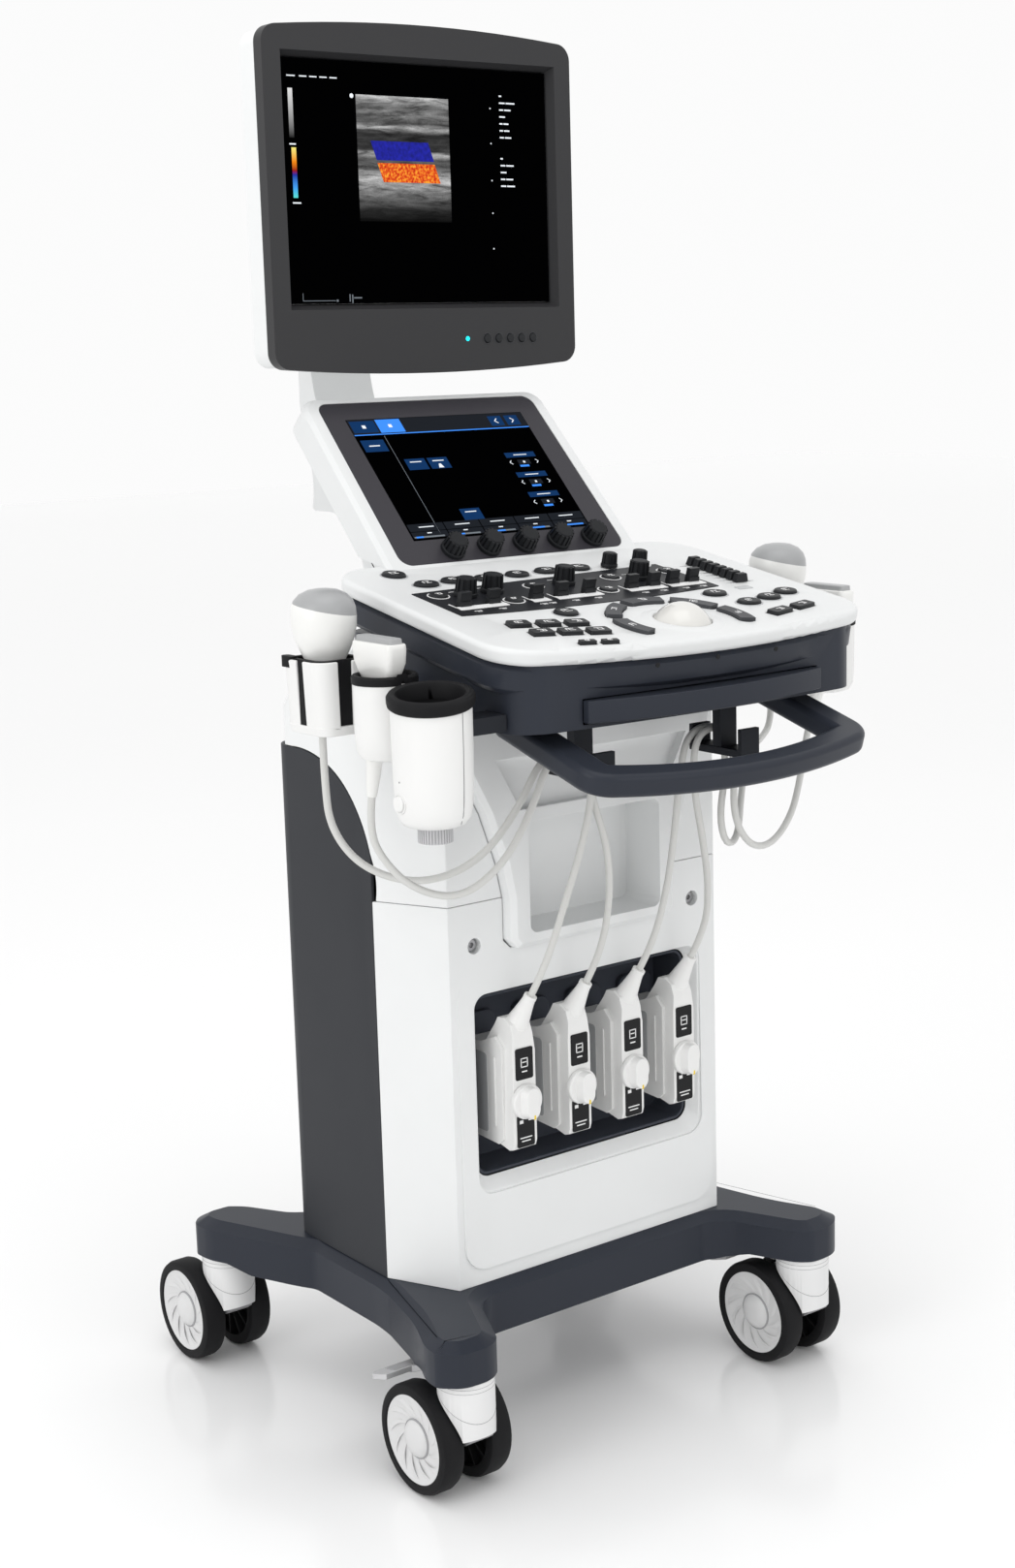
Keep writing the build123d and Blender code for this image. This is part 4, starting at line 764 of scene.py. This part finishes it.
def fluted(bm, radius, tall, skirt, spot, flutes):
    """a rotary cap with grip flutes round its side"""
    turned(bm, [(3, -7.5), (3, 0), (radius, 0), (radius, skirt), (radius * 0.93, skirt + 0.8),
                (0, skirt + 0.8)],
           Matrix.Translation(spot), steps=48)
    turned(bm, [(radius * 0.82, skirt), (radius * 0.74, tall - 1.2), (radius * 0.66, tall - 0.2),
                (radius * 0.5, tall), (0, tall - 0.5)], Matrix.Translation(spot), steps=48)
    for flute in range(flutes):
        turn = flute * 2 * pi / flutes
        rib = bar(bm, radius * 0.80, 0, radius * 0.24, radius * 0.22, skirt + 0.3, tall - skirt - 1.2)
        bmesh.ops.translate(bm, verts=[v for v in rib if v.co.z > tall / 2], vec=(-radius * 0.07, 0, 0))
        bmesh.ops.transform(bm, verts=rib, matrix=Matrix.Translation(spot) @ Matrix.Rotation(turn, 4, "Z"))


for label, spots, radius, tall, skirt, flutes in (("panel_knob", KNOBS, 10.5, 17, 3.0, 12),
                                                  ("small_knob", SMALL_KNOBS, 8.0, 13.5, 2.4, 10)):
    for number, (x, y) in enumerate(spots, 1):
        knob = bmesh.new()
        fluted(knob, radius, tall, skirt, (x, y, 1.3), flutes)
        from_mesh_kit(knob, f"{label}_{number}_cap", f"{label}_{number}", [knob_black],
                      DESK, node=f"{label}_{number}")

# Touch panel: a white wedge housing at the back of the console, with a charcoal front plate, a
# black display behind it and a row of five knobs below. The picture is generic buttons and bars.
TILT = radians(45.3)
TOUCH = plane_at(pt(0, 32.2, 889.7), (1, 0, 0), (0, cos(TILT), sin(TILT)))
softened("touch_housing", 3.0, "machine", "white_plastic", lid_white)
plate_violet = moulding("plate_violet", (0.040, 0.038, 0.045), rough=0.42, grain=0.12, coat=0.1)
softened("touch_panel", 0.8, "machine", "screen_glass", plate_violet)
seam = bmesh.new()
for s in (-1, 1):
    made = bar(seam, s * 144.6, -8, 0.6, 226, -20.5, 0.7)
    for v in made:
        if v.co.y > 0:
            v.co.x -= s * 5.0
            v.co.y = 88
from_mesh_kit(seam, "housing_seams", "machine", [label_black], TOUCH)


def lit(name, colour, power, rough=0.12):
    """a patch of a lit display under a clear cover"""
    return new_finish(name, Base_Color=(*[c * 0.3 for c in colour], 1), Roughness=rough,
                      Specular_IOR_Level=0.0, Emission_Color=(*colour, 1), Emission_Strength=power)[0]


glass_black = lit("display_black", (0.0004, 0.0004, 0.0005), 1.0, 0.3)
lit_blue = lit("display_blue", (0.05, 0.25, 0.85), 0.9)
lit_navy = lit("display_navy", (0.006, 0.03, 0.10), 1.0)
lit_white = lit("display_white", (0.80, 0.84, 0.88), 0.85)
lit_grey = lit("display_grey", (0.16, 0.18, 0.20), 0.9)
lit_slate = lit("display_slate", (0.012, 0.014, 0.018), 1.0)
BLACK, BLUE, NAVY, WHITE, GREY, SLATE = range(6)
SHEET = 0.05
page = bmesh.new()


def patch(x, y, wide, high, layer, finish, turn=0.0):
    """one flat patch of the page, on the layer of that number"""
    return bar(page, x, y, wide, high, 0.8 + SHEET * layer, SHEET, finish, turn)


def arrow(x, y, way, wide, high, spread):
    """two short strokes that meet in a point, to the left or the right"""
    for dy, turn in ((spread, 0.75), (-spread, -0.75)):
        patch(x, y + dy, wide, high, 2, WHITE, turn * way)


bar(page, 0, 0, 208, 153, 0.45, 0.35, BLACK)
for x, y, wide, high, layer, finish in (
        (0, 66.5, 207, 19, 0, SLATE), (0, 56.3, 207, 1.2, 1, BLUE), (-88, 66.5, 28, 15, 1, NAVY),
        (-58, 66.5, 28, 17, 1, BLUE), (-88, 66.5, 4, 4, 2, WHITE), (-58, 66.5, 4, 4, 2, WHITE),
        (-88, 42, 26, 15, 1, NAVY), (-88, 42, 12, 1.3, 2, WHITE), (-71, -8, 0.5, 124, 1, GREY)):
    patch(x, y, wide, high, layer, finish)
for x, way in ((68, 1), (88, -1)):
    patch(x, 66, 16, 13, 1, NAVY)
    arrow(x, 66, way, 4.6, 1.0, 1.5)
for x, y in ((-53, 16), (-27, 16), (-24, -50)):
    patch(x, y, 23, 14, 1, NAVY)
    patch(x, y + 3, 13, 1.1, 2, WHITE)
sign = patch(-27, 12.5, 6, 5, 2, WHITE)
bmesh.ops.scale(page, vec=(0.4, 1, 1), space=Matrix.Translation((27, 0, 0)),
                verts=[v for v in sign if v.co.y > 12.5])
for y in (20, -6, -32):
    patch(72, y, 36, 6.5, 1, NAVY)
    patch(72, y, 16, 1.0, 2, WHITE)
    patch(72, y - 9.5, 15, 6, 1, SLATE)
    patch(72, y - 9.5, 2.4, 2.4, 2, WHITE)
    patch(70, y - 14.6, 11, 2.4, 2, BLUE)
    for x, way in ((56, 1), (88, -1)):
        arrow(x, y - 9.5, way, 3.6, 0.8, 1.2)
KNOB_STEP = 41.4
for cell in range(5):
    x = -82.5 + cell * 41.2
    patch(x, -61.5, 40, 9, 1, SLATE)
    patch(x, -61.0, 17, 1.1, 2, WHITE)
    patch(x, -70.5, 40, 7.5, 1, SLATE)
    patch(x, -68.5, 5, 1.1, 2, WHITE)
    patch(x - 2, -73.0, 34, 1.8, 2, GREY)
    patch(x - 13 + cell * 3, -73.0, 8 + cell * 6, 1.8, 3, BLUE)
from_mesh_kit(page, "touch_display_page", "machine",
              [glass_black, lit_blue, lit_navy, lit_white, lit_grey, lit_slate], TOUCH)
for number in range(1, 6):
    knob = bmesh.new()
    fluted(knob, 12.0, 15.5, 3.2, (14.5 + (number - 3) * KNOB_STEP, -91, 1.0), 14)
    from_mesh_kit(knob, f"touch_knob_{number}_cap", f"touch_knob_{number}", [knob_black],
                  TOUCH, node=f"touch_knob_{number}")

# Neck and monitor: a light grey cast arm rises behind the touch panel and carries a swivel and
# tilt mount. The monitor is a charcoal front frame clipped to a white rear shell.
neck_white = moulding("neck_white", (0.70, 0.71, 0.71), rough=0.44, grain=0.14)
softened("neck", 3.0, "machine", "white_plastic", neck_white)
softened("monitor_mount", 1.0, "monitor_mount", "white_plastic", neck_white)
frame_charcoal = moulding("frame_charcoal", (0.036, 0.036, 0.038), rough=0.42, grain=0.14, grain_size=2000,
                          coat=0.08)


def slope_window(bm):
    """the frame slopes down to the display on all four sides"""
    for v in bm.verts:
        x, y, z = v.co.x * 1000, v.co.y * 1000 - MID_Y, v.co.z * 1000
        if y < 87 and abs(x) < 153 and 1050 < z < 1275:
            v.co.x += 0.0055 if x > 0 else -0.0055
            v.co.z += 0.0055 if z > 1162 else -0.0055


softened("monitor_bezel", 2.2, "monitor", "charcoal_plastic", frame_charcoal, change=slope_window)
softened("monitor_rear", 3.0, "monitor", "white_plastic", cover_white)
softened("monitor_screen", 0.3, "monitor", "screen_glass", glass_black, steps=1)
BUTTONS_X, BUTTONS_Z = (66.5, 80.6, 94.7, 108.8, 122.9), 1017.5
buttons = bmesh.new()
for x in BUTTONS_X:
    turned(buttons, [(0, -98), (4.2, -98), (4.2, -85.2), (3.7, -84.4), (0, -84.0)],
           Matrix.Translation((x, BUTTONS_Z, 0)), steps=32)
from_mesh_kit(buttons, "monitor_button_caps", "monitor_buttons", [key_black], FRONT,
              node="monitor_buttons")
lamp = bmesh.new()
turned(lamp, [(0, -86.2), (2.3, -86.2), (2.3, -85.7), (0, -85.4)], Matrix.Translation((42.5, 1017.7, 0)),
       steps=24)
from_mesh_kit(lamp, "power_lamp", "monitor", [lit("lamp_cyan", (0.02, 0.75, 0.85), 1.6)],
              FRONT)
rings = bmesh.new()
for x in BUTTONS_X:
    ring(rings, x, BUTTONS_Z, 4.7, 5.3, -86.2, 0.5)
from_mesh_kit(rings, "button_rings", "monitor", [key_grey], FRONT)

# Scan picture: a linear-probe image shown on the display, grey speckled layers with one blue and
# one orange flow window, beside a grey bar, a colour bar, depth ticks and generic data marks.


GLOW = {"Roughness": 0.12, "Specular_IOR_Level": 0.0, "Emission_Strength": 1.0}
LAYERS = [(0.0, 0.0), (0.10, 0.03), (0.22, 0.22), (0.36, 0.60), (0.42, 0.16), (0.50, 0.10), (0.545, 0.55),
          (0.57, 0.06), (0.70, 0.04), (0.75, 0.45), (0.79, 0.10), (0.86, 0.30), (0.91, 0.14), (0.97, 0.45),
          (1.0, 0.7)]


def colour_band(tree, stops):
    """a colour ramp through the given stops: (place, colour)"""
    ramp = add_node(tree, "ValToRGB")
    band = ramp.color_ramp
    for element, (spot, colour) in zip(band.elements, (stops[0], stops[-1])):
        element.position, element.color = spot, (*colour, 1)
    for spot, colour in stops[1:-1]:
        band.elements.new(spot).color = (*colour, 1)
    return ramp


def tissue(name):
    """stretched grey fibres over pale and dark layers, broken up by a fine speckle"""
    finish, tree, shader = new_finish(name, Base_Color=(0.004, 0.004, 0.004, 1), **GLOW)
    place = add_node(tree, "TexCoord").outputs["Object"]
    stretch = add_node(tree, "Mapping", {"Scale": (30, 30, 190), "Rotation": (0, radians(4), 0)})
    fibres = add_node(tree, "TexNoise", {"Scale": 1.0, "Detail": 6, "Roughness": 0.65, "Distortion": 0.5})
    dots = add_node(tree, "TexNoise", {"Scale": 900, "Detail": 3})
    split = add_node(tree, "SeparateXYZ")
    depth = add_node(tree, "MapRange", {"From Min": 1.1285, "From Max": 1.2435})
    layers = colour_band(tree, [(spot, (tone, tone, tone)) for spot, tone in LAYERS])
    contrast = colour_band(tree, [(0.36, (0, 0, 0)), (0.74, (1, 1, 1))])
    mixed = add_node(tree, "Mix", {"Factor": 0.85}, data_type="RGBA", blend_type="MULTIPLY")
    speckled = add_node(tree, "Mix", {"Factor": 0.6}, data_type="RGBA", blend_type="MULTIPLY")
    lift = add_node(tree, "Mix", {"Factor": 1.0}, data_type="RGBA", blend_type="ADD")
    wire(tree, (place, stretch, "Vector"), (stretch.outputs["Vector"], fibres, "Vector"),
         (place, dots, "Vector"), (place, split, "Vector"), (split.outputs["Z"], depth, "Value"),
         (depth.outputs["Result"], layers, "Fac"), (fibres.outputs["Fac"], contrast, "Fac"),
         (layers.outputs["Color"], mixed, "A"), (contrast.outputs["Color"], mixed, "B"),
         (mixed.outputs["Result"], speckled, "A"), (dots.outputs["Fac"], speckled, "B"),
         (speckled.outputs["Result"], lift, "A"), (speckled.outputs["Result"], lift, "B"),
         (lift.outputs["Result"], shader, "Emission Color"))
    return finish


def ramped(name, stops, span=(0, 1), scale=0.0):
    """a lit patch whose colour runs upwards over the span, or through a fine mottle"""
    finish, tree, shader = new_finish(name, Base_Color=(0.01, 0.01, 0.01, 1), **GLOW)
    place = add_node(tree, "TexCoord").outputs["Object"]
    colours = colour_band(tree, stops)
    if scale:
        mottle = add_node(tree, "TexNoise", {"Scale": scale, "Detail": 2})
        wire(tree, (place, mottle, "Vector"), (mottle.outputs["Fac"], colours, "Fac"))
    else:
        split = add_node(tree, "SeparateXYZ")
        run = add_node(tree, "MapRange", {"From Min": span[0], "From Max": span[1]})
        wire(tree, (place, split, "Vector"), (split.outputs["Z"], run, "Value"),
             (run.outputs["Result"], colours, "Fac"))
    wire(tree, (colours.outputs["Color"], shader, "Emission Color"))
    return finish


GLASS, INK = -94.6, 0.06
TEXT_LINES = ((1249, 3), (1242.5, 19), (1236, 14), (1229.5, 7), (1223, 11), (1216.5, 12), (1210, 14),
              (1190, 3), (1183.5, 16), (1177, 7), (1170.5, 15), (1164, 17))
picture = bmesh.new()
for x, z, wide, high, finish in (
        (-19, 1186, 106, 115, 0), (-143.5, 1224, 5, 44, 3), (-142, 1171, 5, 45, 4), (-142, 1257, 9, 1.1, 5),
        (-143, 1196.5, 7, 1.3, 5), (-141, 1144, 9, 1.3, 5), (-139, 1059, 0.6, 7, 7),
        (-121, 1055.5, 36, 0.6, 7),
        (-101, 1055.5, 2, 2, 7), (-84, 1057, 1.2, 8, 7), (-78, 1058, 9, 1.2, 7), (-87, 1058, 1, 7, 7)):
    bar(picture, x, z, wide, high, GLASS, INK, finish)
for x, z, finish in ((-21, 1193.5, 1), (-14, 1173.5, 2)):
    window = bar(picture, x, z, 66, 17.5, GLASS + INK, 0.05, finish)
    bmesh.ops.translate(picture, verts=[v for v in window if v.co.y > z], vec=(-3.2, 0, 0))
    bmesh.ops.translate(picture, verts=[v for v in window if v.co.y < z], vec=(3.2, 0, 0))
for x in (-129, -118, -107, -96):
    bar(picture, x, 1257, 8, 1.1, GLASS, INK, 5)
for z, wide in TEXT_LINES:
    bar(picture, 95 + wide / 2, z, wide, 1.4, GLASS, INK, 5)
    if wide > 8:
        bar(picture, 95 + wide * 0.4, z, 1.1, 1.8, GLASS + 0.04, 0.04, 6)
for z in (1237, 1204, 1169, 1138, 1104):
    bar(picture, 84, z, 1.3, 1.3, GLASS, INK, 5)
turned(picture, [(0, GLASS), (2.1, GLASS), (2.1, GLASS + INK), (0, GLASS + INK)],
       Matrix.Translation((-76.5, 1242, 0)), steps=20, finish=5)
from_mesh_kit(picture, "scan_picture", "monitor", [
    tissue("scan_tissue"),
    ramped("flow_blue", [(0.3, (0.005, 0.008, 0.20)), (0.7, (0.012, 0.015, 0.42))], scale=260),
    ramped("flow_orange", [(0.34, (0.55, 0.02, 0.0)), (0.5, (0.85, 0.12, 0.01)), (0.66, (1.0, 0.42, 0.03))],
           scale=420),
    ramped("grey_bar", [(0, (0.0, 0.0, 0.0)), (1, (0.75, 0.75, 0.75))], span=(1.202, 1.246)),
    ramped("colour_bar", [(0, (0.1, 0.75, 0.65)), (0.2, (0.05, 0.35, 0.9)), (0.46, (0.01, 0.02, 0.35)),
                          (0.54, (0.3, 0.0, 0.0)),
                          (0.72, (0.9, 0.25, 0.0)), (1, (0.95, 0.85, 0.2))], span=(1.1485, 1.1935)),
    lit_white, glass_black, lit_grey], FRONT)

# Holders: round cups and wide cradles on brackets at each side of the console. The gel warmer
# at the left front is a white cup with a thick rubber rim, a round button and a ribbed knob below.
cup_white = moulding("cup_white", (0.80, 0.80, 0.79), rough=0.40, grain=0.10)
rim_rubber = moulding("rim_rubber", (0.008, 0.008, 0.009), rough=0.60, grain=0.30, grain_size=1400)
softened("console_brackets", 1.2, "machine", "black_plastic",
         moulding("bracket_black", (0.016, 0.018, 0.023), rough=0.45))
GEL, SLIM, WIDE = (-256, -259), (255, -192), (264, -116)
CORNER_WALL = [(20, 0), (14, 0), (8.6, 1.1), (4.1, 4.1), (1.1, 8.6), (0, 14), (0, 26), (3, 26), (3, 14),
               (7, 7),
               (14, 3), (20, 3)]
cups = bmesh.new()
turned(cups, [(0, 628), (20, 628.2), (26, 630.5), (30, 636), (31.6, 645), (32.6, 665), (33.2, 695),
              (33.3, 731),
              (28.5, 731), (28.5, 648), (24, 645), (0, 645)], Matrix.Translation((*GEL, 0)), steps=72)
for s in (-1, 1):
    turned(cups, [(0, 674), (16, 674.3), (22, 676.5), (25.5, 682), (26.6, 694), (27, 740), (23, 740),
                  (23, 682), (0, 680)],
           Matrix.Translation((s * SLIM[0], SLIM[1], 0)), steps=64)


def slanted_rim(bm, middle):
    """the round cup's mouth leans towards the user: its far side stands higher than its near side"""
    for v in bm.verts:
        dx, dy = v.co.x - middle[0], v.co.y - middle[1]
        if dx * dx + dy * dy < 1600 and v.co.z > 655:
            v.co.z += (0.085 * dx + 0.106 * dy) * min(1, (v.co.z - 655) / 60)


slanted_rim(cups, GEL)
from_mesh_kit(cups, "round_cups", "machine", [cup_white], FLOOR, "probe_cups")
cradles = bmesh.new()
for s in (-1, 1):
    raise_face(cradles, rounded_plate(cradles, 54, 62, 14, (s * WIDE[0], WIDE[1]), steps=8), 8, 690)
    for sx in (-1, 1):
        for sy in (-1, 1):
            x0, y0 = s * WIDE[0] + sx * 27, WIDE[1] + sy * 31
            wall = filled(cradles, [(x0 - sx * dx, y0 - sy * dy) for dx, dy in CORNER_WALL])
            raise_face(cradles, wall, 58, 695)
for v in cradles.verts:
    if v.co.z < 705:
        away = v.co.x - (WIDE[0] if v.co.x > 0 else -WIDE[0])
        v.co.x -= 0.12 * away * (705 - v.co.z) / 15
from_mesh_kit(cradles, "wide_cradles", "machine", [cup_white], FLOOR, edge=1.3, steps=3)
liners = bmesh.new()
turned(liners, [(27.6, 724), (27.6, 734.5), (28.8, 737.2), (31.5, 738.2), (34.4, 737.4), (36.2, 735),
                (36.2, 731), (35.4, 727.6),
                (33.6, 726.2), (33.4, 727.5), (33.4, 731), (28.4, 731), (28.4, 724), (27.6, 724)],
       Matrix.Translation((*GEL, 0)), steps=72)
for s in (-1, 1):
    turned(liners, [(22.9, 738), (22.9, 744), (24, 746), (26.5, 746), (28, 744.5), (28, 739), (27.1, 738.4),
                    (22.9, 738)],
           Matrix.Translation((s * SLIM[0], SLIM[1], 0)), steps=64)
    outer = rounded_plate(liners, 48.5, 56.5, 11.5, (s * WIDE[0], WIDE[1]), steps=8)
    inner = rounded_plate(liners, 39, 47, 9, (s * WIDE[0], WIDE[1]), steps=8)
    loops = [*outer.edges, *inner.edges]
    liners.faces.remove(outer)
    liners.faces.remove(inner)
    band = bmesh.ops.bridge_loops(liners, edges=loops)["faces"]
    bmesh.ops.translate(liners, verts=list({v for f in band for v in f.verts}), vec=(0, 0, 698.2))
    grown = bmesh.ops.extrude_face_region(liners, geom=band)["geom"]
    bmesh.ops.translate(liners, verts=verts_in(grown), vec=(0, 0, 55.6))
    lip = rounded_plate(liners, 8, 17, 3.6, (s * (WIDE[0] + 23), WIDE[1] + 21), steps=5)
    raise_face(liners, lip, 9.5, 746)
slanted_rim(liners, GEL)
wells = bmesh.new()
turned(wells, [(28.3, 725), (28.3, 649.2), (0, 649.2)], Matrix.Translation((*GEL, 0)), steps=64)
for s in (-1, 1):
    turned(wells, [(22.8, 739), (22.8, 682.6), (0, 682.6)], Matrix.Translation((s * SLIM[0], SLIM[1], 0)),
           steps=48)
slanted_rim(wells, GEL)
bmesh.ops.recalc_face_normals(wells, faces=wells.faces)
bmesh.ops.solidify(wells, geom=wells.faces[:], thickness=0.15)
from_mesh_kit(wells, "cup_wells", "machine", [rim_rubber], FLOOR)
cup_seam = bmesh.new()
rise = [(28.2, 631.8), (31.0, 639.5), (32.3, 650), (32.95, 668), (33.45, 697), (33.5, 727)]
line = [cup_seam.verts.new((r * 0.22, -r * 0.9755, z)) for r, z in rise]
for a, b in zip(line, line[1:]):
    cup_seam.edges.new((a, b))
skirt = bmesh.ops.extrude_edge_only(cup_seam, edges=cup_seam.edges[:])["geom"]
bmesh.ops.translate(cup_seam, verts=verts_in(skirt), vec=(0.55, 0.12, 0))
bmesh.ops.solidify(cup_seam, geom=cup_seam.faces[:], thickness=0.2)
bmesh.ops.translate(cup_seam, verts=cup_seam.verts, vec=(*GEL, 0))
dot = bmesh.new()
bmesh.ops.create_uvsphere(dot, u_segments=12, v_segments=8, radius=0.8)
bmesh.ops.translate(dot, verts=dot.verts, vec=(GEL[0] - 32.4, GEL[1] + 1, 668))
seam_grey = moulding("seam_grey", (0.20, 0.20, 0.21), rough=0.5)
from_mesh_kit(cup_seam, "gel_cup_seam", "machine", [seam_grey], FLOOR)
from_mesh_kit(dot, "gel_cup_lamp", "machine", [seam_grey], FLOOR)
from_mesh_kit(liners, "holder_liners", "machine", [rim_rubber], FLOOR, node="cup_liners")
gel_lines = bmesh.new()
turned(gel_lines, [(0, 0), (8.4, 0), (8.4, 0.9), (7.3, 0.9), (7.3, 0.3), (0, 0.3)], steps=48)
bmesh.ops.transform(gel_lines, verts=gel_lines.verts, matrix=along((GEL[0] - 31.4, GEL[1] + 3, 650),
                                                                   (-1, 0, 0)))
from_mesh_kit(gel_lines, "gel_button_ring", "machine", [cup_white], FLOOR)
gel_knob = bmesh.new()
turned(gel_knob, [(0, 614.5), (12.5, 614.5), (13.4, 615.4), (13.4, 627.5), (0, 627.5)],
       Matrix.Translation((*GEL, 0)), steps=48)
turned(gel_knob, [(0, 627), (4, 627), (4, 634), (0, 634)], Matrix.Translation((*GEL, 0)), steps=24)
for rib in range(36):
    made = bar(gel_knob, 13.5, 0, 1.9, 1.1, 615, 12.0)
    bmesh.ops.transform(gel_knob, verts=made,
                        matrix=Matrix.Translation((*GEL, 0)) @ Matrix.Rotation(rib * pi / 18, 4, "Z"))
from_mesh_kit(gel_knob, "gel_knob_ribbed", "gel_knob", [pedal_grey], FLOOR, node="gel_knob")
button = bmesh.new()
turned(button, [(0, 0.4), (6.4, 0.4), (6.4, 2.2), (5.6, 2.9), (0, 3.1)], steps=40)
bmesh.ops.transform(button, verts=button.verts, matrix=along((GEL[0] - 31.0, GEL[1] + 3, 650), (-1, 0, 0)))
from_mesh_kit(button, "gel_button_cap", "gel_button", [cup_white], FLOOR, node="gel_button")

# Probes: two convex probes, egg-shaped white shells with a broad grey silicone lens, stand in the
# wide cradles; two linear probes with flat grey faces stand in the round cups, reliefs below.
probe_white = moulding("probe_white", (0.82, 0.82, 0.80), rough=0.30, grain=0.04, coat=0.2)
lens_grey = moulding("lens_grey", (0.36, 0.365, 0.37), rough=0.32, grain=0.03)


def stacked(bm, centre, levels, finish=0):
    """a skin over rounded outlines, one above the other: (height, wide, long, corner) from the bottom up"""
    rings = []
    for height, wide, long, corner in levels:
        outline = rounded_plate(bm, wide, long, corner, centre, steps=5)
        rings.append([bm.verts.new((v.co.x, v.co.y, height)) for v in outline.verts])
        bmesh.ops.delete(bm, geom=list(outline.verts), context="VERTS")
    for low, high in zip(rings, rings[1:]):
        for i in range(len(low)):
            bm.faces.new((low[i - 1], low[i], high[i], high[i - 1])).material_index = finish
    bm.faces.new(rings[0][::-1]).material_index = finish
    bm.faces.new(rings[-1]).material_index = finish


probes = bmesh.new()
for s in (-1, 1):
    spot = Matrix.Translation((s * WIDE[0], WIDE[1], 0))
    before = set(probes.faces)
    turned(probes, [(0, 700), (8, 701), (11, 720), (13.5, 740), (17, 751), (21.5, 760), (25.6, 770),
                    (27.8, 780),
                    (28.2, 789), (27.6, 796), (25.4, 802.2), (20.5, 807.4), (13, 810.9), (6, 812),
                    (0, 812.2)], spot, steps=64)
    shell = [f for f in probes.faces if f not in before]
    slope = Vector((0.80 * sin(0.21), -0.60 * sin(0.21), cos(0.21)))
    middle = Vector((s * WIDE[0], WIDE[1], 795))
    parts = list({e for f in shell for e in f.edges} | {v for f in shell for v in f.verts}) + shell
    bmesh.ops.bisect_plane(probes, geom=parts, plane_co=middle, plane_no=slope, dist=1e-4)
    for face in probes.faces:
        if face not in before and (face.calc_center_median() - middle).dot(slope) > 0:
            face.material_index = 1
    turned(probes, [(0, 684), (4.4, 684), (7.8, 708), (7.8, 712), (0, 712)],
           Matrix.Translation((s * WIDE[0], WIDE[1] + 10, 0)), steps=32)
    spot = (s * (SLIM[0] + 3), SLIM[1] + 2)
    stacked(probes, spot, [(742, 14, 42, 5), (748, 16.6, 48, 5), (756, 19.2, 55, 5), (768, 19.6, 58, 5),
                           (771.8, 18.4, 57, 4.5), (772.4, 16.6, 56, 4)])
    stacked(probes, spot, [(771, 13.4, 53, 3), (776.2, 12.6, 52.4, 3), (777, 11, 51.4, 2.5)], 1)
    turned(probes, [(0, 700), (9, 700), (9, 736), (6.5, 743), (0, 743)],
           Matrix.Translation((s * SLIM[0], SLIM[1], 0)), steps=40)
    turned(probes, [(0, 0), (8, 0), (7.6, 20), (6.0, 45), (4.6, 60), (4.5, 62), (0, 62)],
           along((s * 258.9, -183.6, 700), (-s * 2, 13, -50)), steps=40)
from_mesh_kit(probes, "probe_shells", "machine", [probe_white, lens_grey], FLOOR, edge=1.4,
              steps=3, limit=45, node="probes")
